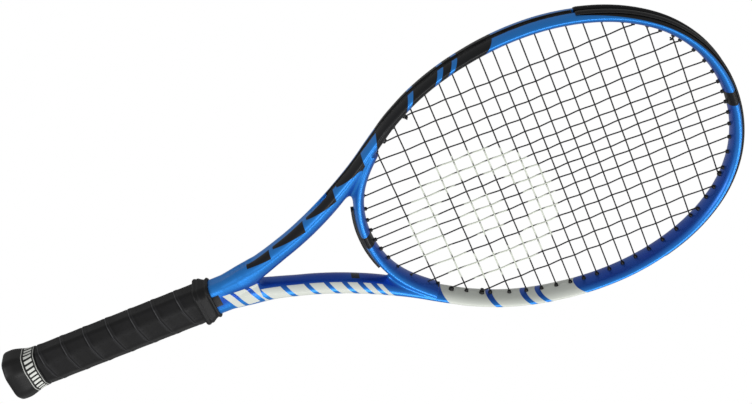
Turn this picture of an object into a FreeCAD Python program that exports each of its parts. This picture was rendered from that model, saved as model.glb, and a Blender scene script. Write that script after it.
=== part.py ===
import FreeCAD, Part
import Sketcher
import math
import os

# Tennis racket, 27 inch frame.  Every piece is drawn about the frame's own axes: x runs from the butt
# end (0) to the tip (overall_length), y across the head, z out of the string plane.  The placement then
# puts the origin under the middle of the racket, on the surface that it lies on.

os.makedirs("parts", exist_ok=True)
V = FreeCAD.Vector
doc = FreeCAD.newDocument("TennisRacket")

# ------------------------------------------------------------------ driving dimensions
sheet = doc.addObject("Spreadsheet::Sheet", "Dims")
DIMS = [
    ("overall_length", 686.0), ("rest_height", 18.4),
    # hoop tube
    ("hoop_half_width", 4.95), ("hoop_half_height", 12.9), ("tip_half_height", 11.6),
    ("channel_depth", 2.7), ("channel_half", 3.5), ("wall", 1.7),
    # throat and shaft
    ("limb_half_width", 6.8), ("limb_half_height", 12.2),
    ("shaft_half_width", 15.0), ("shaft_half_height", 11.0), ("shaft_corner", 7.0),
    ("leg_gap", 0.05), ("leg_start", 9.0), ("tail_half_width", 12.0), ("tail_half_height", 9.4),
    ("bridge_half_width", 4.7), ("bridge_half_height", 11.4),
    # strings and grommets
    ("string_dia", 1.25), ("layer", 0.67), ("barrel_dia", 3.4), ("barrel_bore", 2.0),
    ("barrel_stand", 2.2), ("strip_half", 3.2), ("strip_thick", 1.0), ("drill_dia", 3.6),
    ("bumper_half", 8.6), ("bumper_thick", 1.4),
    # handle
    ("grip_start", 30.0), ("grip_end", 187.0), ("grip_half_width", 17.5), ("grip_half_height", 15.75),
    ("grip_flat_y", 8.1), ("grip_flat_z", 7.6), ("grip_thick", 2.0),
    ("pallet_start", 6.0), ("pallet_end", 176.0), ("cap_sleeve_end", 44.0), ("cap_sleeve_thick", 1.4),
    ("cap_half_width", 21.6), ("cap_half_height", 18.4), ("cap_rim", 9.0), ("cap_floor", 4.5),
    ("window_half_width", 12.5), ("window_half_height", 10.0), ("door_gap", 0.3), ("door_thick", 2.6),
    # collar
    ("collar_start", 184.6), ("collar_end", 199.0), ("collar_gap", 0.3), ("tape_thick", 0.25),
    ("tape_start", 187.2), ("tape_end", 197.5), ("tape_tail_end", 205.0), ("tape_tail_half", 5.5),
]
for row, (alias, value) in enumerate(DIMS, start=1):
    sheet.set("A%d" % row, alias)
    sheet.set("B%d" % row, repr(value))
    sheet.setAlias("B%d" % row, alias)
doc.recompute()


class D:
    pass


for alias, _ in DIMS:
    setattr(D, alias, float(getattr(sheet, alias)))

PLACE_X = "-Dims.overall_length / 2"
PLACE_Z = "Dims.rest_height"
PARTS = []


def place(obj):
    obj.setExpression("Placement.Base.x", PLACE_X)
    obj.setExpression("Placement.Base.z", PLACE_Z)


def feature(label, shape):
    obj = doc.addObject("Part::Feature", label)
    obj.Label = label
    obj.Shape = shape
    place(obj)
    PARTS.append(obj)
    return obj


def checked(shape, name):
    if shape.isNull() or not shape.isValid():
        raise SystemExit("bad solid: " + name)
    return shape


# ------------------------------------------------------------------ hairpin centre line
# half of the centre line, butt end to tip: x, y, half width, half height, D weight (1 = shaft leg), channel (0..1)
tail = D.tail_half_width / 2 - D.leg_gap / 2
leg = D.shaft_half_width / 2 - D.leg_gap / 2
HALF = [
    (D.leg_start, D.leg_gap + tail, tail, D.tail_half_height, 1, 0),
    (60, D.leg_gap + tail, tail, D.tail_half_height, 1, 0),
    (120, D.leg_gap + tail, tail, D.tail_half_height, 1, 0),
    (165, D.leg_gap + tail, tail, D.tail_half_height, 1, 0),
    (177, D.leg_gap + tail, tail, D.tail_half_height, 1, 0),
    (179.5, D.leg_gap + tail + 0.1, tail + 0.1, D.tail_half_height + 0.1, 1, 0),
    (182, D.leg_gap + (tail + leg) / 2, (tail + leg) / 2, (D.tail_half_height + D.shaft_half_height) / 2, 1, 0),
    (184.5, D.leg_gap + leg - 0.1, leg - 0.1, D.shaft_half_height - 0.1, 1, 0),
    (187, D.leg_gap + leg, leg, D.shaft_half_height, 1, 0),
    (193, D.leg_gap + leg, leg, D.shaft_half_height, 1, 0),
    (200, D.leg_gap + leg, leg, D.shaft_half_height, 1, 0),
    (212, D.leg_gap + leg + 0.1, leg + 0.1, D.shaft_half_height, 1, 0),
    (222, 8.15, 8.05, 11.2, 1, 0),
    (232, 9.0, 8.85, 11.5, 0.9, 0),
    (240, 10.5, 8.9, 11.8, 0.65, 0),
    (250, 13.2, 8.5, 12.0, 0.35, 0),
    (260, 16.3, 8.3, 12.1, 0.15, 0),
    (270, 19.7, 8.2, 12.2, 0, 0),
    (280, 23.1, 8.15, 12.2, 0, 0.1),
    (290, 26.9, 8.1, 12.2, 0, 0.5),
    (300, 31.1, 8.1, 12.2, 0, 0.9),
    (310, 35.7, 8.0, 12.2, 0, 1),
    (320, 40.7, 7.9, 12.2, 0, 1),
    (330, 46.1, 7.7, 12.3, 0, 1),
    (340, 52.0, 7.4, 12.4, 0, 1),
    (350, 58.3, 6.9, 12.5, 0, 1),
    (360, 65.0, 6.4, 12.6, 0, 1),
    (370, 72.3, 5.9, 12.7, 0, 1),
    (379.6, 79.6, 5.5, 12.8, 0, 1),
]
HOOP = [  # polar angle from the tip about x = 515, radius of the centre line
    (145, 152.1), (140, 147.9), (135, 143.9), (130, 140.6), (125, 137.6), (120, 135.0), (115, 132.8),
    (110, 131.1), (105, 129.8), (100, 129.2), (95, 129.0), (90, 129.3), (85, 130.0), (80, 131.15),
    (75, 132.7), (70, 134.6), (65, 136.85), (60, 139.4), (55, 142.3), (50, 145.4), (45, 148.6),
    (40, 151.8), (35, 155.0), (30, 157.8), (25, 160.1), (20, 162.0), (15, 163.3), (10, 164.15),
    (5, 164.6), (0, 164.7),
]
HOOP_X = 515.0
for phi, rad in HOOP:
    c, s = math.cos(math.radians(phi)), math.sin(math.radians(phi))
    b = D.hoop_half_height + (D.tip_half_height - D.hoop_half_height) * max(0.0, min(1.0, (75 - phi) / 60.0))
    HALF.append((HOOP_X + rad * c, rad * s, D.hoop_half_width + max(0.0, phi - 125) * 0.02, b, 0, 1))
STATIONS = HALF + [(x, -y, a, b, w, c) for x, y, a, b, w, c in reversed(HALF[:-1])]

curve = Part.BSplineCurve()
curve.interpolate([V(s[0], s[1], 0) for s in STATIONS])
params = [curve.parameter(V(s[0], s[1], 0)) for s in STATIONS]
params[0], params[-1] = curve.FirstParameter, curve.LastParameter


def station(t):
    """Centre, outward normal and section values at curve parameter t."""
    k = 0
    while k < len(params) - 2 and params[k + 1] < t:
        k += 1
    f = (t - params[k]) / (params[k + 1] - params[k])
    f = max(0.0, min(1.0, f))
    vals = [p + (q - p) * f for p, q in zip(STATIONS[k][2:], STATIONS[k + 1][2:])]
    p = curve.value(t)
    tan = curve.tangent(t)[0]
    return p, V(-tan.y, tan.x, 0).normalize(), vals


# upper half of the section, from the outer channel over the crest to the inner wall
def half_section(a, b, w, ch):
    k = b / 12.9
    m = a / 5.75
    depth = D.channel_depth * ch
    tube = [
        (a - depth, D.channel_half - 0.1), (a, D.channel_half + 0.1), (5.75 * m, 5.2 * k), (5.0 * m, 8.0 * k),
        (3.6 * m, 10.6 * k), (2.0 * m, 12.25 * k), (0.7 * m, 12.9 * k), (-1.1 * m, 12.6 * k),
        (-2.9 * m, 11.2 * k), (-4.4 * m, 8.7 * k), (-5.4 * m, 5.6 * k), (-a, 2.0),
    ]
    r = min(D.shaft_corner, a * 0.95)
    cy, cz = a - r, b - r
    arc = [(cy + r * math.cos(math.radians(q)), cz + r * math.sin(math.radians(q))) for q in (0, 18, 36, 54, 72, 90)]
    dee = [(a, min(D.channel_half - 0.1, cz - 0.6) if cz > 1.2 else 0.6)] + arc + [
        (cy - 0.35 * (a + cy), b), (-a * 0.93, b), (-a, b - 0.5), (-a, b * 0.5), (-a, 2.0)]
    return [(p[0] * (1 - w) + q[0] * w, p[1] * (1 - w) + q[1] * w) for p, q in zip(tube, dee)]


def full_section(half):
    return half + [(n, -z) for n, z in reversed(half)]


def cavity_section(a, b, w, ch):
    """Rounded bore of the tube: a superellipse between the inner wall and the channel floor."""
    n0, n1 = -a + D.wall, a - D.channel_depth * ch - D.wall
    c, rn, rz = (n0 + n1) / 2, (n1 - n0) / 2, b - D.wall - 0.5
    e = 2.0 / (2.1 + 1.2 * w)
    out = []
    for i in range(16):
        q = math.radians(i * 22.5 + 11.25)
        cq, sq = math.cos(q), math.sin(q)
        out.append((c + rn * math.copysign(abs(cq) ** e, cq), rz * math.copysign(abs(sq) ** e, sq)))
    return out


def wire_at(p, n, poly):
    pts = [p + n * q[0] + V(0, 0, q[1]) for q in poly]
    return Part.makePolygon(pts + [pts[0]])


def grid_params(t0, t1, step, extra=()):
    """Curve parameters between t0 and t1 about step mm apart."""
    total = curve.length(t0, t1)
    count = max(2, int(round(total / step)))
    runs = [total * i / count for i in range(count + 1)]
    for x in extra:
        runs += [x, total - x]
    return [curve.parameterAtDistance(r, t0) for r in sorted(runs)]


def tube(t0, t1, step, section, extra=(), degree=3):
    wires = []
    for t in grid_params(t0, t1, step, extra):
        p, n, vals = station(t)
        wires.append(wire_at(p, n, section(*vals)))
    return Part.makeLoft(wires, True, False, False, degree)


T0, T1 = curve.FirstParameter, curve.LastParameter
LEG_STEPS = [x - D.leg_start for x in (171.5, 180.3, 182.6, 185.0, 187.4, 198.0)]      # sections where the legs step out to the shaft
hair_outer = checked(tube(T0, T1, 13.0, lambda a, b, w, c: full_section(half_section(a, b, w, c)), LEG_STEPS), "hairpin outside")
tc0, tc1 = curve.parameterAtDistance(3.0, T0), curve.parameterAtDistance(curve.length(T0, T1) - 3.0, T0)
hair_inner = checked(tube(tc0, tc1, 13.0, cavity_section), "hairpin inside")
hairpin = Part.makeSolid(Part.makeCompound([hair_outer.Shells[0], hair_inner.Shells[0].reversed()]))

# ------------------------------------------------------------------ throat bridge
BRIDGE = [(344.8, 0), (345.2, 10), (346.7, 20), (349.2, 30), (353.2, 40.5), (359.4, 52.0), (367.0, 62.2), (372.5, 68.5)]
bpts = [(x, -y) for x, y in reversed(BRIDGE[1:])] + BRIDGE
bcurve = Part.BSplineCurve()
bcurve.interpolate([V(x, y, 0) for x, y in bpts])
B0, B1 = bcurve.FirstParameter, bcurve.LastParameter


def bridge_at(t):
    p = bcurve.value(t)
    tan = bcurve.tangent(t)[0]
    n = V(-tan.y, tan.x, 0).normalize()
    return p, (n if n.x < 0 else n * -1)        # normal towards the handle


def oval(rn, rz, e, cnt, z0=0.0):
    out = []
    for i in range(cnt):
        q = math.radians((i + 0.5) * 360.0 / cnt)
        cq, sq = math.cos(q), math.sin(q)
        out.append((rn * math.copysign(abs(cq) ** e, cq), rz * math.copysign(abs(sq) ** e, sq)))
    return out


def bridge_tube(t0, t1, rn, rz, count):
    total = bcurve.length(t0, t1)
    wires = []
    for i in range(count + 1):
        t = bcurve.parameterAtDistance(total * i / count, t0)
        p, n = bridge_at(t)
        wires.append(wire_at(p, n, oval(rn, rz, 0.8, 16)))
    return Part.makeLoft(wires, True, False, False, 3)


bridge = bridge_tube(B0, B1, D.bridge_half_width, D.bridge_half_height, 16)
bridge = bridge.cut(hair_outer)
solids = sorted(bridge.Solids, key=lambda q: -q.Volume)
bridge = checked(solids[0], "bridge")
bi0 = bcurve.parameterAtDistance(22.0, B0)
bi1 = bcurve.parameterAtDistance(bcurve.length(B0, B1) - 22.0, B0)
bore = checked(bridge_tube(bi0, bi1, D.bridge_half_width - 1.5, D.bridge_half_height - 2.0, 12), "bridge bore")
bridge = Part.makeSolid(Part.makeCompound([bridge.Shells[0], bore.Shells[0].reversed()]))

# ------------------------------------------------------------------ string pattern
MAINS = [5.22, 15.70, 26.68, 39.01, 52.11, 65.46, 80.59, 95.77]
MAIN_LOW = [350.3, 351.5, 353.8, 358.4, 366.0, 376.4, 393.0, 415.4]
MAIN_TIP = [673.9, 673.0, 671.2, 667.6, 662.4, 654.1, 641.4, 621.0]
CROSSES = [383.66, 405.83, 424.63, 440.27, 454.85, 468.09, 481.36, 494.10, 506.40, 518.79, 530.54, 543.38,
           556.01, 569.48, 583.54, 598.05, 613.79, 631.62, 648.93]
floor_n = D.hoop_half_width - D.channel_depth
strip_gap = 0.14                                                 # bands above the channel floor
loop_n = strip_gap + D.strip_thick + D.string_dia / 2 + 0.1      # string centre above the channel floor


def offset_on(pt):
    """Parameter and signed distance from the hairpin's centre line."""
    t = curve.parameter(V(pt.x, pt.y, 0))
    p, n, vals = station(t)
    return t, (V(pt.x, pt.y, 0) - p).dot(n), vals


def find(point_at, target_of, s0, s1):
    for _ in range(44):
        mid = (s0 + s1) / 2
        t, off, vals = offset_on(point_at(mid))
        if off < target_of(vals):
            s0 = mid
        else:
            s1 = mid
    return (s0 + s1) / 2


def inner_target(vals):
    return -vals[0] - D.barrel_stand


def loop_target(vals):
    return vals[0] - D.channel_depth * vals[3] + loop_n


def band_target(vals):
    return vals[0] - D.channel_depth * vals[3] + 0.5


ENDS = {}       # (kind, index, side) -> entry, direction, depth to the band, depth to the loop, node


def add_end(key, entry, direction, where):
    if where == "bridge":
        t = bcurve.parameter(V(entry.x, entry.y, 0))
        p, n = bridge_at(t)
        off = (V(entry.x, entry.y, 0) - p).dot(n)
        c = direction.dot(n)
        ENDS[key] = (entry, direction, (D.bridge_half_width + 0.55 - off) / c, (D.bridge_half_width + loop_n - off) / c, where)
        return
    point = lambda q: entry + direction * q
    ENDS[key] = (entry, direction, find(point, band_target, 0.0, 45.0), find(point, loop_target, 0.0, 45.0), where)


def entry_on_hoop(at, s0, s1):
    """Point where a straight string meets the barrel tips, and the outward normal there."""
    q = find(at, inner_target, s0, s1) if offset_on(at(s0))[1] < offset_on(at(s1))[1] else None
    e = at(q)
    t = curve.parameter(V(e.x, e.y, 0))
    return e, station(t)[1]


SHOULDER = {3: (-0.80, 0.60), 4: (-0.75, 0.66), 5: (-0.66, 0.75)}
for i, y in enumerate(MAINS):
    for sg in (1, -1):
        z = D.layer
        e, n = entry_on_hoop(lambda q: V(515 + q, sg * y, z), 20.0, 158.0)
        add_end(("m", i, sg, "tip"), e, n, "bumper")
        if i <= 2:
            t = bcurve.parameter(V(345, sg * y, 0))
            for _ in range(6):
                p, n = bridge_at(t)
                e = p - n * (D.bridge_half_width + D.barrel_stand)
                t = bcurve.parameter(V(p.x, p.y + (sg * y - e.y), 0))
            e = V(e.x, sg * y, z)
            add_end(("m", i, sg, "low"), e, n, "bridge")
        elif i in SHOULDER:
            dx, dy = SHOULDER[i]
            e = V(MAIN_LOW[i], sg * y, z)
            add_end(("m", i, sg, "low"), e, V(dx, sg * dy, 0).normalize(), "left" if sg > 0 else "right")
        else:
            e, n = entry_on_hoop(lambda q: V(515 - q, sg * y, z), 20.0, 128.0)
            add_end(("m", i, sg, "low"), e, n, "left" if sg > 0 else "right")
for i, x in enumerate(CROSSES):
    for sg in (1, -1):
        e, n = entry_on_hoop(lambda q: V(x, sg * q, -D.layer), 20.0, 128.0)
        ang = abs(math.degrees(math.atan2(e.y, e.x - HOOP_X)))
        add_end(("c", i, sg), e, n, "bumper" if ang < 62 else ("left" if sg > 0 else "right"))

drill = []
barrels = {"bumper": [], "bridge": [], "left": [], "right": []}
bores = {"bumper": [], "bridge": [], "left": [], "right": []}
for key, (e, d, band, loop, where) in ENDS.items():
    drill.append(Part.makeCylinder(D.drill_dia / 2, loop + 6.0, e - d * 1.0, d))
    barrels[where].append(Part.makeCylinder(D.barrel_dia / 2, band, e, d))
    bores[where].append(Part.makeCylinder(D.barrel_bore / 2, loop + 6.0, e - d * 1.0, d))
    # a barrel that its string enters at a slant is scooped out on the string's side
    inward = V(0, -key[2], 0) if key[0] == "c" else V(1 if key[3] == "low" else -1, 0, 0)
    if abs(d.dot(inward)) < 0.93:
        bores[where].append(Part.makeCylinder(0.8, 7.0, e, inward))

hairpin = hairpin.cut([c for c in drill])
bridge = bridge.cut([c for c in drill if c.BoundBox.XMin < 386 and abs(c.BoundBox.Center.y) < 96])
feature("frame_hairpin", checked(hairpin, "frame_hairpin"))
feature("throat_bridge", checked(bridge, "throat_bridge"))
print("frame volumes", hairpin.Volume, bridge.Volume)

# ------------------------------------------------------------------ grommet strips and bumper
def strip_section(a, b, w, ch):
    f = a - D.channel_depth * ch + strip_gap
    return [(f, -D.strip_half), (a - 0.15, -D.strip_half - 0.1), (a - 0.15, -2.5), (f + D.strip_thick, -2.3),
            (f + D.strip_thick, 2.3), (a - 0.15, 2.5), (a - 0.15, D.strip_half + 0.1), (f, D.strip_half)]


def bumper_section(a, b, w, ch):
    f = a - D.channel_depth * ch + strip_gap
    k = b / 12.9
    m = a / 5.75
    g = 0.2
    up = [(f, D.strip_half), (a + g, D.strip_half + 0.15), (a + 0.06 + g, 5.2 * k), (5.0 * m + g + 0.05, 8.0 * k),
          (5.0 * m + 1.0, 8.3 * k), (a + g + D.bumper_thick, 5.5 * k), (a + g + D.bumper_thick, 3.4),
          (a - 0.3, 2.5), (f + D.strip_thick, 2.3)]
    return up + [(n, -z) for n, z in reversed(up)]


def t_at(x, sg):
    """Parameter of the hairpin where its outer run passes x on the given side."""
    best = None
    for s_, q in zip(STATIONS, params):
        if s_[1] * sg > 0 and (best is None or abs(s_[0] - x) < abs(best[0] - x)):
            best = (s_[0], q)
    return best[1]


def t_polar(phi):
    c, s_ = math.cos(math.radians(phi)), math.sin(math.radians(phi))
    return curve.parameter(V(HOOP_X + 138 * c, 138 * s_, 0))


def strip(name, t0, t1, section):
    band = tube(t0, t1, 9.0, section, degree=8)
    solid = band.fuse(barrels[name]).cut(bores[name]).removeSplitter()
    solids = sorted(solid.Solids, key=lambda q: -q.Volume)
    print(name, "solids", len(solids), solids[0].Volume)
    return checked(solids[0], name)


left0, left1 = t_at(330, 1), t_polar(63.5)
right0, right1 = t_polar(-63.5), t_at(330, -1)
feature("grommet_strip_left", strip("left", left0, left1, strip_section))
feature("grommet_strip_right", strip("right", right0, right1, strip_section))
feature("head_bumper", strip("bumper", t_polar(62.5), t_polar(-62.5), bumper_section))

bs0, bs1 = bcurve.parameter(V(349.3, -30.5, 0)), bcurve.parameter(V(349.3, 30.5, 0))
wires = []
for i in range(9):
    t = bs0 + (bs1 - bs0) * i / 8.0
    p, n = bridge_at(t)
    f = D.bridge_half_width + 0.05
    wires.append(wire_at(p, n, [(f, -3.2), (f + 2.6, -3.2), (f + 2.6, -2.4), (f + 1.0, -2.2), (f + 1.0, 2.2), (f + 2.6, 2.4),
                                (f + 2.6, 3.2), (f, 3.2)]))
band = Part.makeLoft(wires, True, False, False, 3)
solid = band.fuse(barrels["bridge"]).cut(bores["bridge"])
feature("bridge_grommet_strip", checked(sorted(solid.Solids, key=lambda q: -q.Volume)[0], "bridge strip"))


# ------------------------------------------------------------------ strings
def pipe(points):
    """Round string along a flat polyline with mitred corners."""
    clean = [points[0]]
    for p in points[1:]:
        if (p - clean[-1]).Length > 0.4:
            clean.append(p)
    path = Part.makePolygon(clean)
    d = (clean[1] - clean[0]).normalize()
    ring = Part.Wire([Part.makeCircle(D.string_dia / 2, clean[0], d)])
    return path.makePipeShell([ring], True, False, 1)


def end_pts(key):
    e, d, band, loop, where = ENDS[key]
    return e, e + d * loop


def loop_mid(key_a, key_b):
    """Points along the channel from string end a to the middle of the loop to end b."""
    a, b = end_pts(key_a)[1], end_pts(key_b)[1]
    if ENDS[key_a][4] == "bridge":
        ta, tb = bcurve.parameter(V(a.x, a.y, 0)), bcurve.parameter(V(b.x, b.y, 0))
        tm = (ta + tb) / 2
        p, n = bridge_at(tm)
        m = p + n * (D.bridge_half_width + loop_n)
        return [V(m.x, m.y, a.z)]
    ta, tb = curve.parameter(V(a.x, a.y, 0)), curve.parameter(V(b.x, b.y, 0))
    out = []
    for f in (0.25, 0.5):
        t = ta + (tb - ta) * f
        p, n, vals = station(t)
        m = p + n * loop_target(vals)
        out.append(V(m.x, m.y, a.z))
    return out


LOW_PAIRS = {(0, 1): (0, -1), (0, -1): (0, 1)}
for u, w in ((1, 2), (3, 4), (5, 6)):
    for sg in (1, -1):
        LOW_PAIRS[(u, sg)] = (w, sg)
        LOW_PAIRS[(w, sg)] = (u, sg)
TIP_PAIRS = {}
for u, w in ((0, 1), (2, 3), (4, 5), (6, 7)):
    for sg in (1, -1):
        TIP_PAIRS[(u, sg)] = (w, sg)
        TIP_PAIRS[(w, sg)] = (u, sg)


def string(path_a, entry_a, entry_b, path_b):
    return checked(pipe(list(reversed(path_a)) + [entry_a, entry_b] + path_b), "string")


mains = []
for i in range(8):
    for sg in (1, -1):
        low, tip = ("m", i, sg, "low"), ("m", i, sg, "tip")
        ea, xa = end_pts(low)
        eb, xb = end_pts(tip)
        pa = [xa] + (loop_mid(low, ("m",) + LOW_PAIRS[(i, sg)] + ("low",)) if (i, sg) in LOW_PAIRS else [])
        pb = [xb] + (loop_mid(tip, ("m",) + TIP_PAIRS[(i, sg)] + ("tip",)) if (i, sg) in TIP_PAIRS else [])
        mains.append(string(pa, ea, eb, pb))
crosses = []
for i in range(19):
    left_pair = i + 1 if i % 2 == 0 else i - 1
    right_pair = i - 1 if i % 2 == 0 else i + 1
    ea, xa = end_pts(("c", i, 1))
    eb, xb = end_pts(("c", i, -1))
    pa = [xa] + (loop_mid(("c", i, 1), ("c", left_pair, 1)) if 0 <= left_pair < 19 else [])
    pb = [xb] + (loop_mid(("c", i, -1), ("c", right_pair, -1)) if 0 <= right_pair < 19 else [])
    crosses.append(string(pa, ea, eb, pb))
feature("main_strings", Part.makeCompound(mains))
feature("cross_strings", Part.makeCompound(crosses))
print("string volumes", sum(q.Volume for q in mains), sum(q.Volume for q in crosses))
# ------------------------------------------------------------------ handle: sketched and padded bodies
class Q:
    """A sum of sheet values, kept both as a sheet formula and as a number."""

    def __init__(self, *terms):
        self.terms = list(terms)

    @property
    def expr(self):
        out = ""
        for term in self.terms:
            if isinstance(term, str):
                sign, name = ("-", term[1:]) if term[0] == "-" else ("+", term)
                out += " %s Dims.%s" % (sign, name)
            else:
                out += " %s %r" % ("-" if term < 0 else "+", abs(float(term)))
        return "0" + out

    @property
    def val(self):
        total = 0.0
        for term in self.terms:
            if isinstance(term, str):
                total += -getattr(D, term[1:]) if term[0] == "-" else getattr(D, term)
            else:
                total += term
        return total

    def neg(self):
        return Q(*[(t[1:] if t[0] == "-" else "-" + t) if isinstance(t, str) else -t for t in self.terms])


def body_of(label):
    body = doc.addObject("PartDesign::Body", label)
    body.Label = label
    place(body)
    PARTS.append(body)
    return body


def sketch(body, name, start, loops):
    """Sketch across the handle at x = start; each loop is a list of (y, z) corners."""
    sk = body.newObject("Sketcher::SketchObject", name)
    sk.AttachmentSupport = [([o for o in body.Origin.OriginFeatures if o.Role == "YZ_Plane"][0], "")]
    sk.MapMode = "FlatFace"
    sk.setExpression("AttachmentOffset.Base.z", start.expr)
    for loop in loops:
        first = sk.GeometryCount
        vals = [(u.val, v.val) for u, v in loop]
        cnt = len(loop)
        for i in range(cnt):
            (x0, y0), (x1, y1) = vals[i], vals[(i + 1) % cnt]
            sk.addGeometry(Part.LineSegment(V(x0, y0, 0), V(x1, y1, 0)), False)
        for i in range(cnt):
            sk.addConstraint(Sketcher.Constraint("Coincident", first + i, 2, first + (i + 1) % cnt, 1))
        for i, (u, v) in enumerate(loop):
            for kind, quantity in (("DistanceX", u), ("DistanceY", v)):
                k = sk.addConstraint(Sketcher.Constraint(kind, -1, 1, first + i, 1, quantity.val))
                sk.setExpression("Constraints[%d]" % k, quantity.expr)
    return sk


def pad(body, name, start, length, loops):
    sk = sketch(body, name + "_sketch", start, loops)
    doc.recompute()
    f = body.newObject("PartDesign::Pad", name)
    f.Profile = sk
    f.setExpression("Length", length.expr)
    doc.recompute()
    return f


def pocket(body, name, start, length, loops):
    sk = sketch(body, name + "_sketch", start, loops)
    doc.recompute()
    f = body.newObject("PartDesign::Pocket", name)
    f.Profile = sk
    f.Reversed = True            # cuts along +x, the way the sketch's normal points
    f.setExpression("Length", length.expr)
    doc.recompute()
    return f


def loft(body, name, stations, subtract=False):
    sks = [sketch(body, "%s_sketch%d" % (name, i), s_, [loop]) for i, (s_, loop) in enumerate(stations)]
    doc.recompute()
    f = body.newObject("PartDesign::SubtractiveLoft" if subtract else "PartDesign::AdditiveLoft", name)
    f.Profile = sks[0]
    f.Sections = sks[1:]
    f.Ruled = True
    doc.recompute()
    return f


def octagon(*less):
    """Octagon of the handle, drawn in by the given terms."""
    w, h_ = Q("grip_half_width", *less), Q("grip_half_height", *less)
    fy, fz = Q("grip_flat_y"), Q("grip_flat_z")
    scale = [t for t in less]
    fy, fz = Q("grip_flat_y", *[0.41 * t for t in scale if not isinstance(t, str)]), Q("grip_flat_z", *[0.41 * t for t in scale if not isinstance(t, str)])
    return [(w, fz), (fy, h_), (fy.neg(), h_), (w.neg(), fz), (w.neg(), fz.neg()), (fy.neg(), h_.neg()), (fy, h_.neg()), (w, fz.neg())]


def rectangle(u, v):
    return [(u, v.neg()), (u, v), (u.neg(), v), (u.neg(), v.neg())]


def cut_rectangle(u, v, c):
    """Rectangle with its corners cut off by c."""
    ui, vi = Q(*(u.terms + [-c])), Q(*(v.terms + [-c]))
    return [(u, vi.neg()), (u, vi), (ui, v), (ui.neg(), v), (u.neg(), vi), (u.neg(), vi.neg()), (ui.neg(), v.neg()), (ui, v.neg())]


def box_loop(y0, y1, z0, z1):
    return [(Q(y0), Q(z0)), (Q(y1), Q(z0)), (Q(y1), Q(z1)), (Q(y0), Q(z1))]


C = Q
SL = -D.grip_thick
# the cushioned grip: an eight-sided sleeve over the pallets
grip = body_of("grip_wrap")
pad(grip, "grip_pad", C("grip_start"), C("grip_end", "-grip_start"), [octagon(), octagon(SL)])
pocket(grip, "grip_staple_seat", C("grip_start", 3.0), C(1.2),
       [[(C(-5.0), C("-grip_half_height", -0.2)), (C(5.0), C("-grip_half_height", -0.2)),
         (C(5.0), C("-grip_half_height", 0.6)), (C(-5.0), C("-grip_half_height", 0.6))]])
pocket(grip, "grip_staple_hole_a", C("grip_start", 3.0), C(1.2),
       [[(C(-5.0), C("-grip_half_height", 0.4)), (C(-4.2), C("-grip_half_height", 0.4)),
         (C(-4.2), C("-grip_half_height", 2.2)), (C(-5.0), C("-grip_half_height", 2.2))]])
pocket(grip, "grip_staple_hole_b", C("grip_start", 3.0), C(1.2),
       [[(C(4.2), C("-grip_half_height", 0.4)), (C(5.0), C("-grip_half_height", 0.4)),
         (C(5.0), C("-grip_half_height", 2.2)), (C(4.2), C("-grip_half_height", 2.2))]])

# two pallets: half shells round the hairpin's legs, stepped in where the butt cap's sleeve goes over them
SLEEVE = -D.grip_thick - D.cap_sleeve_thick - 0.1
for label, sg in (("handle_pallet_upper", 1), ("handle_pallet_lower", -1)):
    pal = body_of(label)

    def half(less, sg=sg):
        o = octagon(less)
        if sg > 0:
            return [(o[0][0], C(0.02)), o[0], o[1], o[2], o[3], (o[3][0], C(0.02))]
        return [(o[0][0], C(-0.02)), (o[4][0], C(-0.02)), o[4], o[5], o[6], o[7]]

    pad(pal, label + "_grip_part", C("cap_sleeve_end", 0.1), C("pallet_end", "-cap_sleeve_end", -0.1), [half(SL)])
    pad(pal, label + "_cap_part", C("pallet_start"), C("cap_sleeve_end", "-pallet_start", 0.1), [half(SLEEVE)])
    pocket(pal, label + "_leg_channel", C("pallet_start", -1.0), C("pallet_end", "-pallet_start", 2.0),
           [cut_rectangle(C("tail_half_width", 0.3), C("tail_half_height", 0.3), 3.57)])
    if sg > 0:
        pocket(pal, "weight_pocket", C(70.0), C(50.0), [box_loop(-5.0, 5.0, D.tail_half_height, D.tail_half_height + 2.4)])
    for nm, y0 in (("a", -5.0), ("b", 4.2)):
        if sg > 0:
            pocket(pal, "cap_staple_hole_%s" % nm, C(36.0), C(1.2), [box_loop(y0, y0 + 0.8, 9.0, 13.0)])
        else:
            pocket(pal, "cap_staple_hole_%s" % nm, C(36.0), C(1.2), [box_loop(y0, y0 + 0.8, -13.0, -9.0)])
            pocket(pal, "grip_staple_hole_%s" % nm, C("grip_start", 3.0), C(1.2), [box_loop(y0, y0 + 0.8, -13.0, -9.0)])

weight = body_of("balance_weight")
pad(weight, "weight_pad", C(70.2), C(49.6), [box_loop(-4.9, 4.9, D.tail_half_height + 0.4, D.tail_half_height + 2.3)])

# butt cap: flared, open at the front for the pallets, with a window in its end
cap = body_of("butt_cap")


def flare(dw, dh):
    """Octagon of the cap, wider than the handle's by dw across and dh through."""
    w, h_ = C("grip_half_width", dw), C("grip_half_height", dh)
    fy, fz = C("grip_flat_y", 0.62 * dw + 0.9), C("grip_flat_z", 0.62 * dh + 0.9)
    return [(w, fz), (fy, h_), (fy.neg(), h_), (w.neg(), fz), (w.neg(), fz.neg()), (fy.neg(), h_.neg()), (fy, h_.neg()), (w, fz.neg())]


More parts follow.
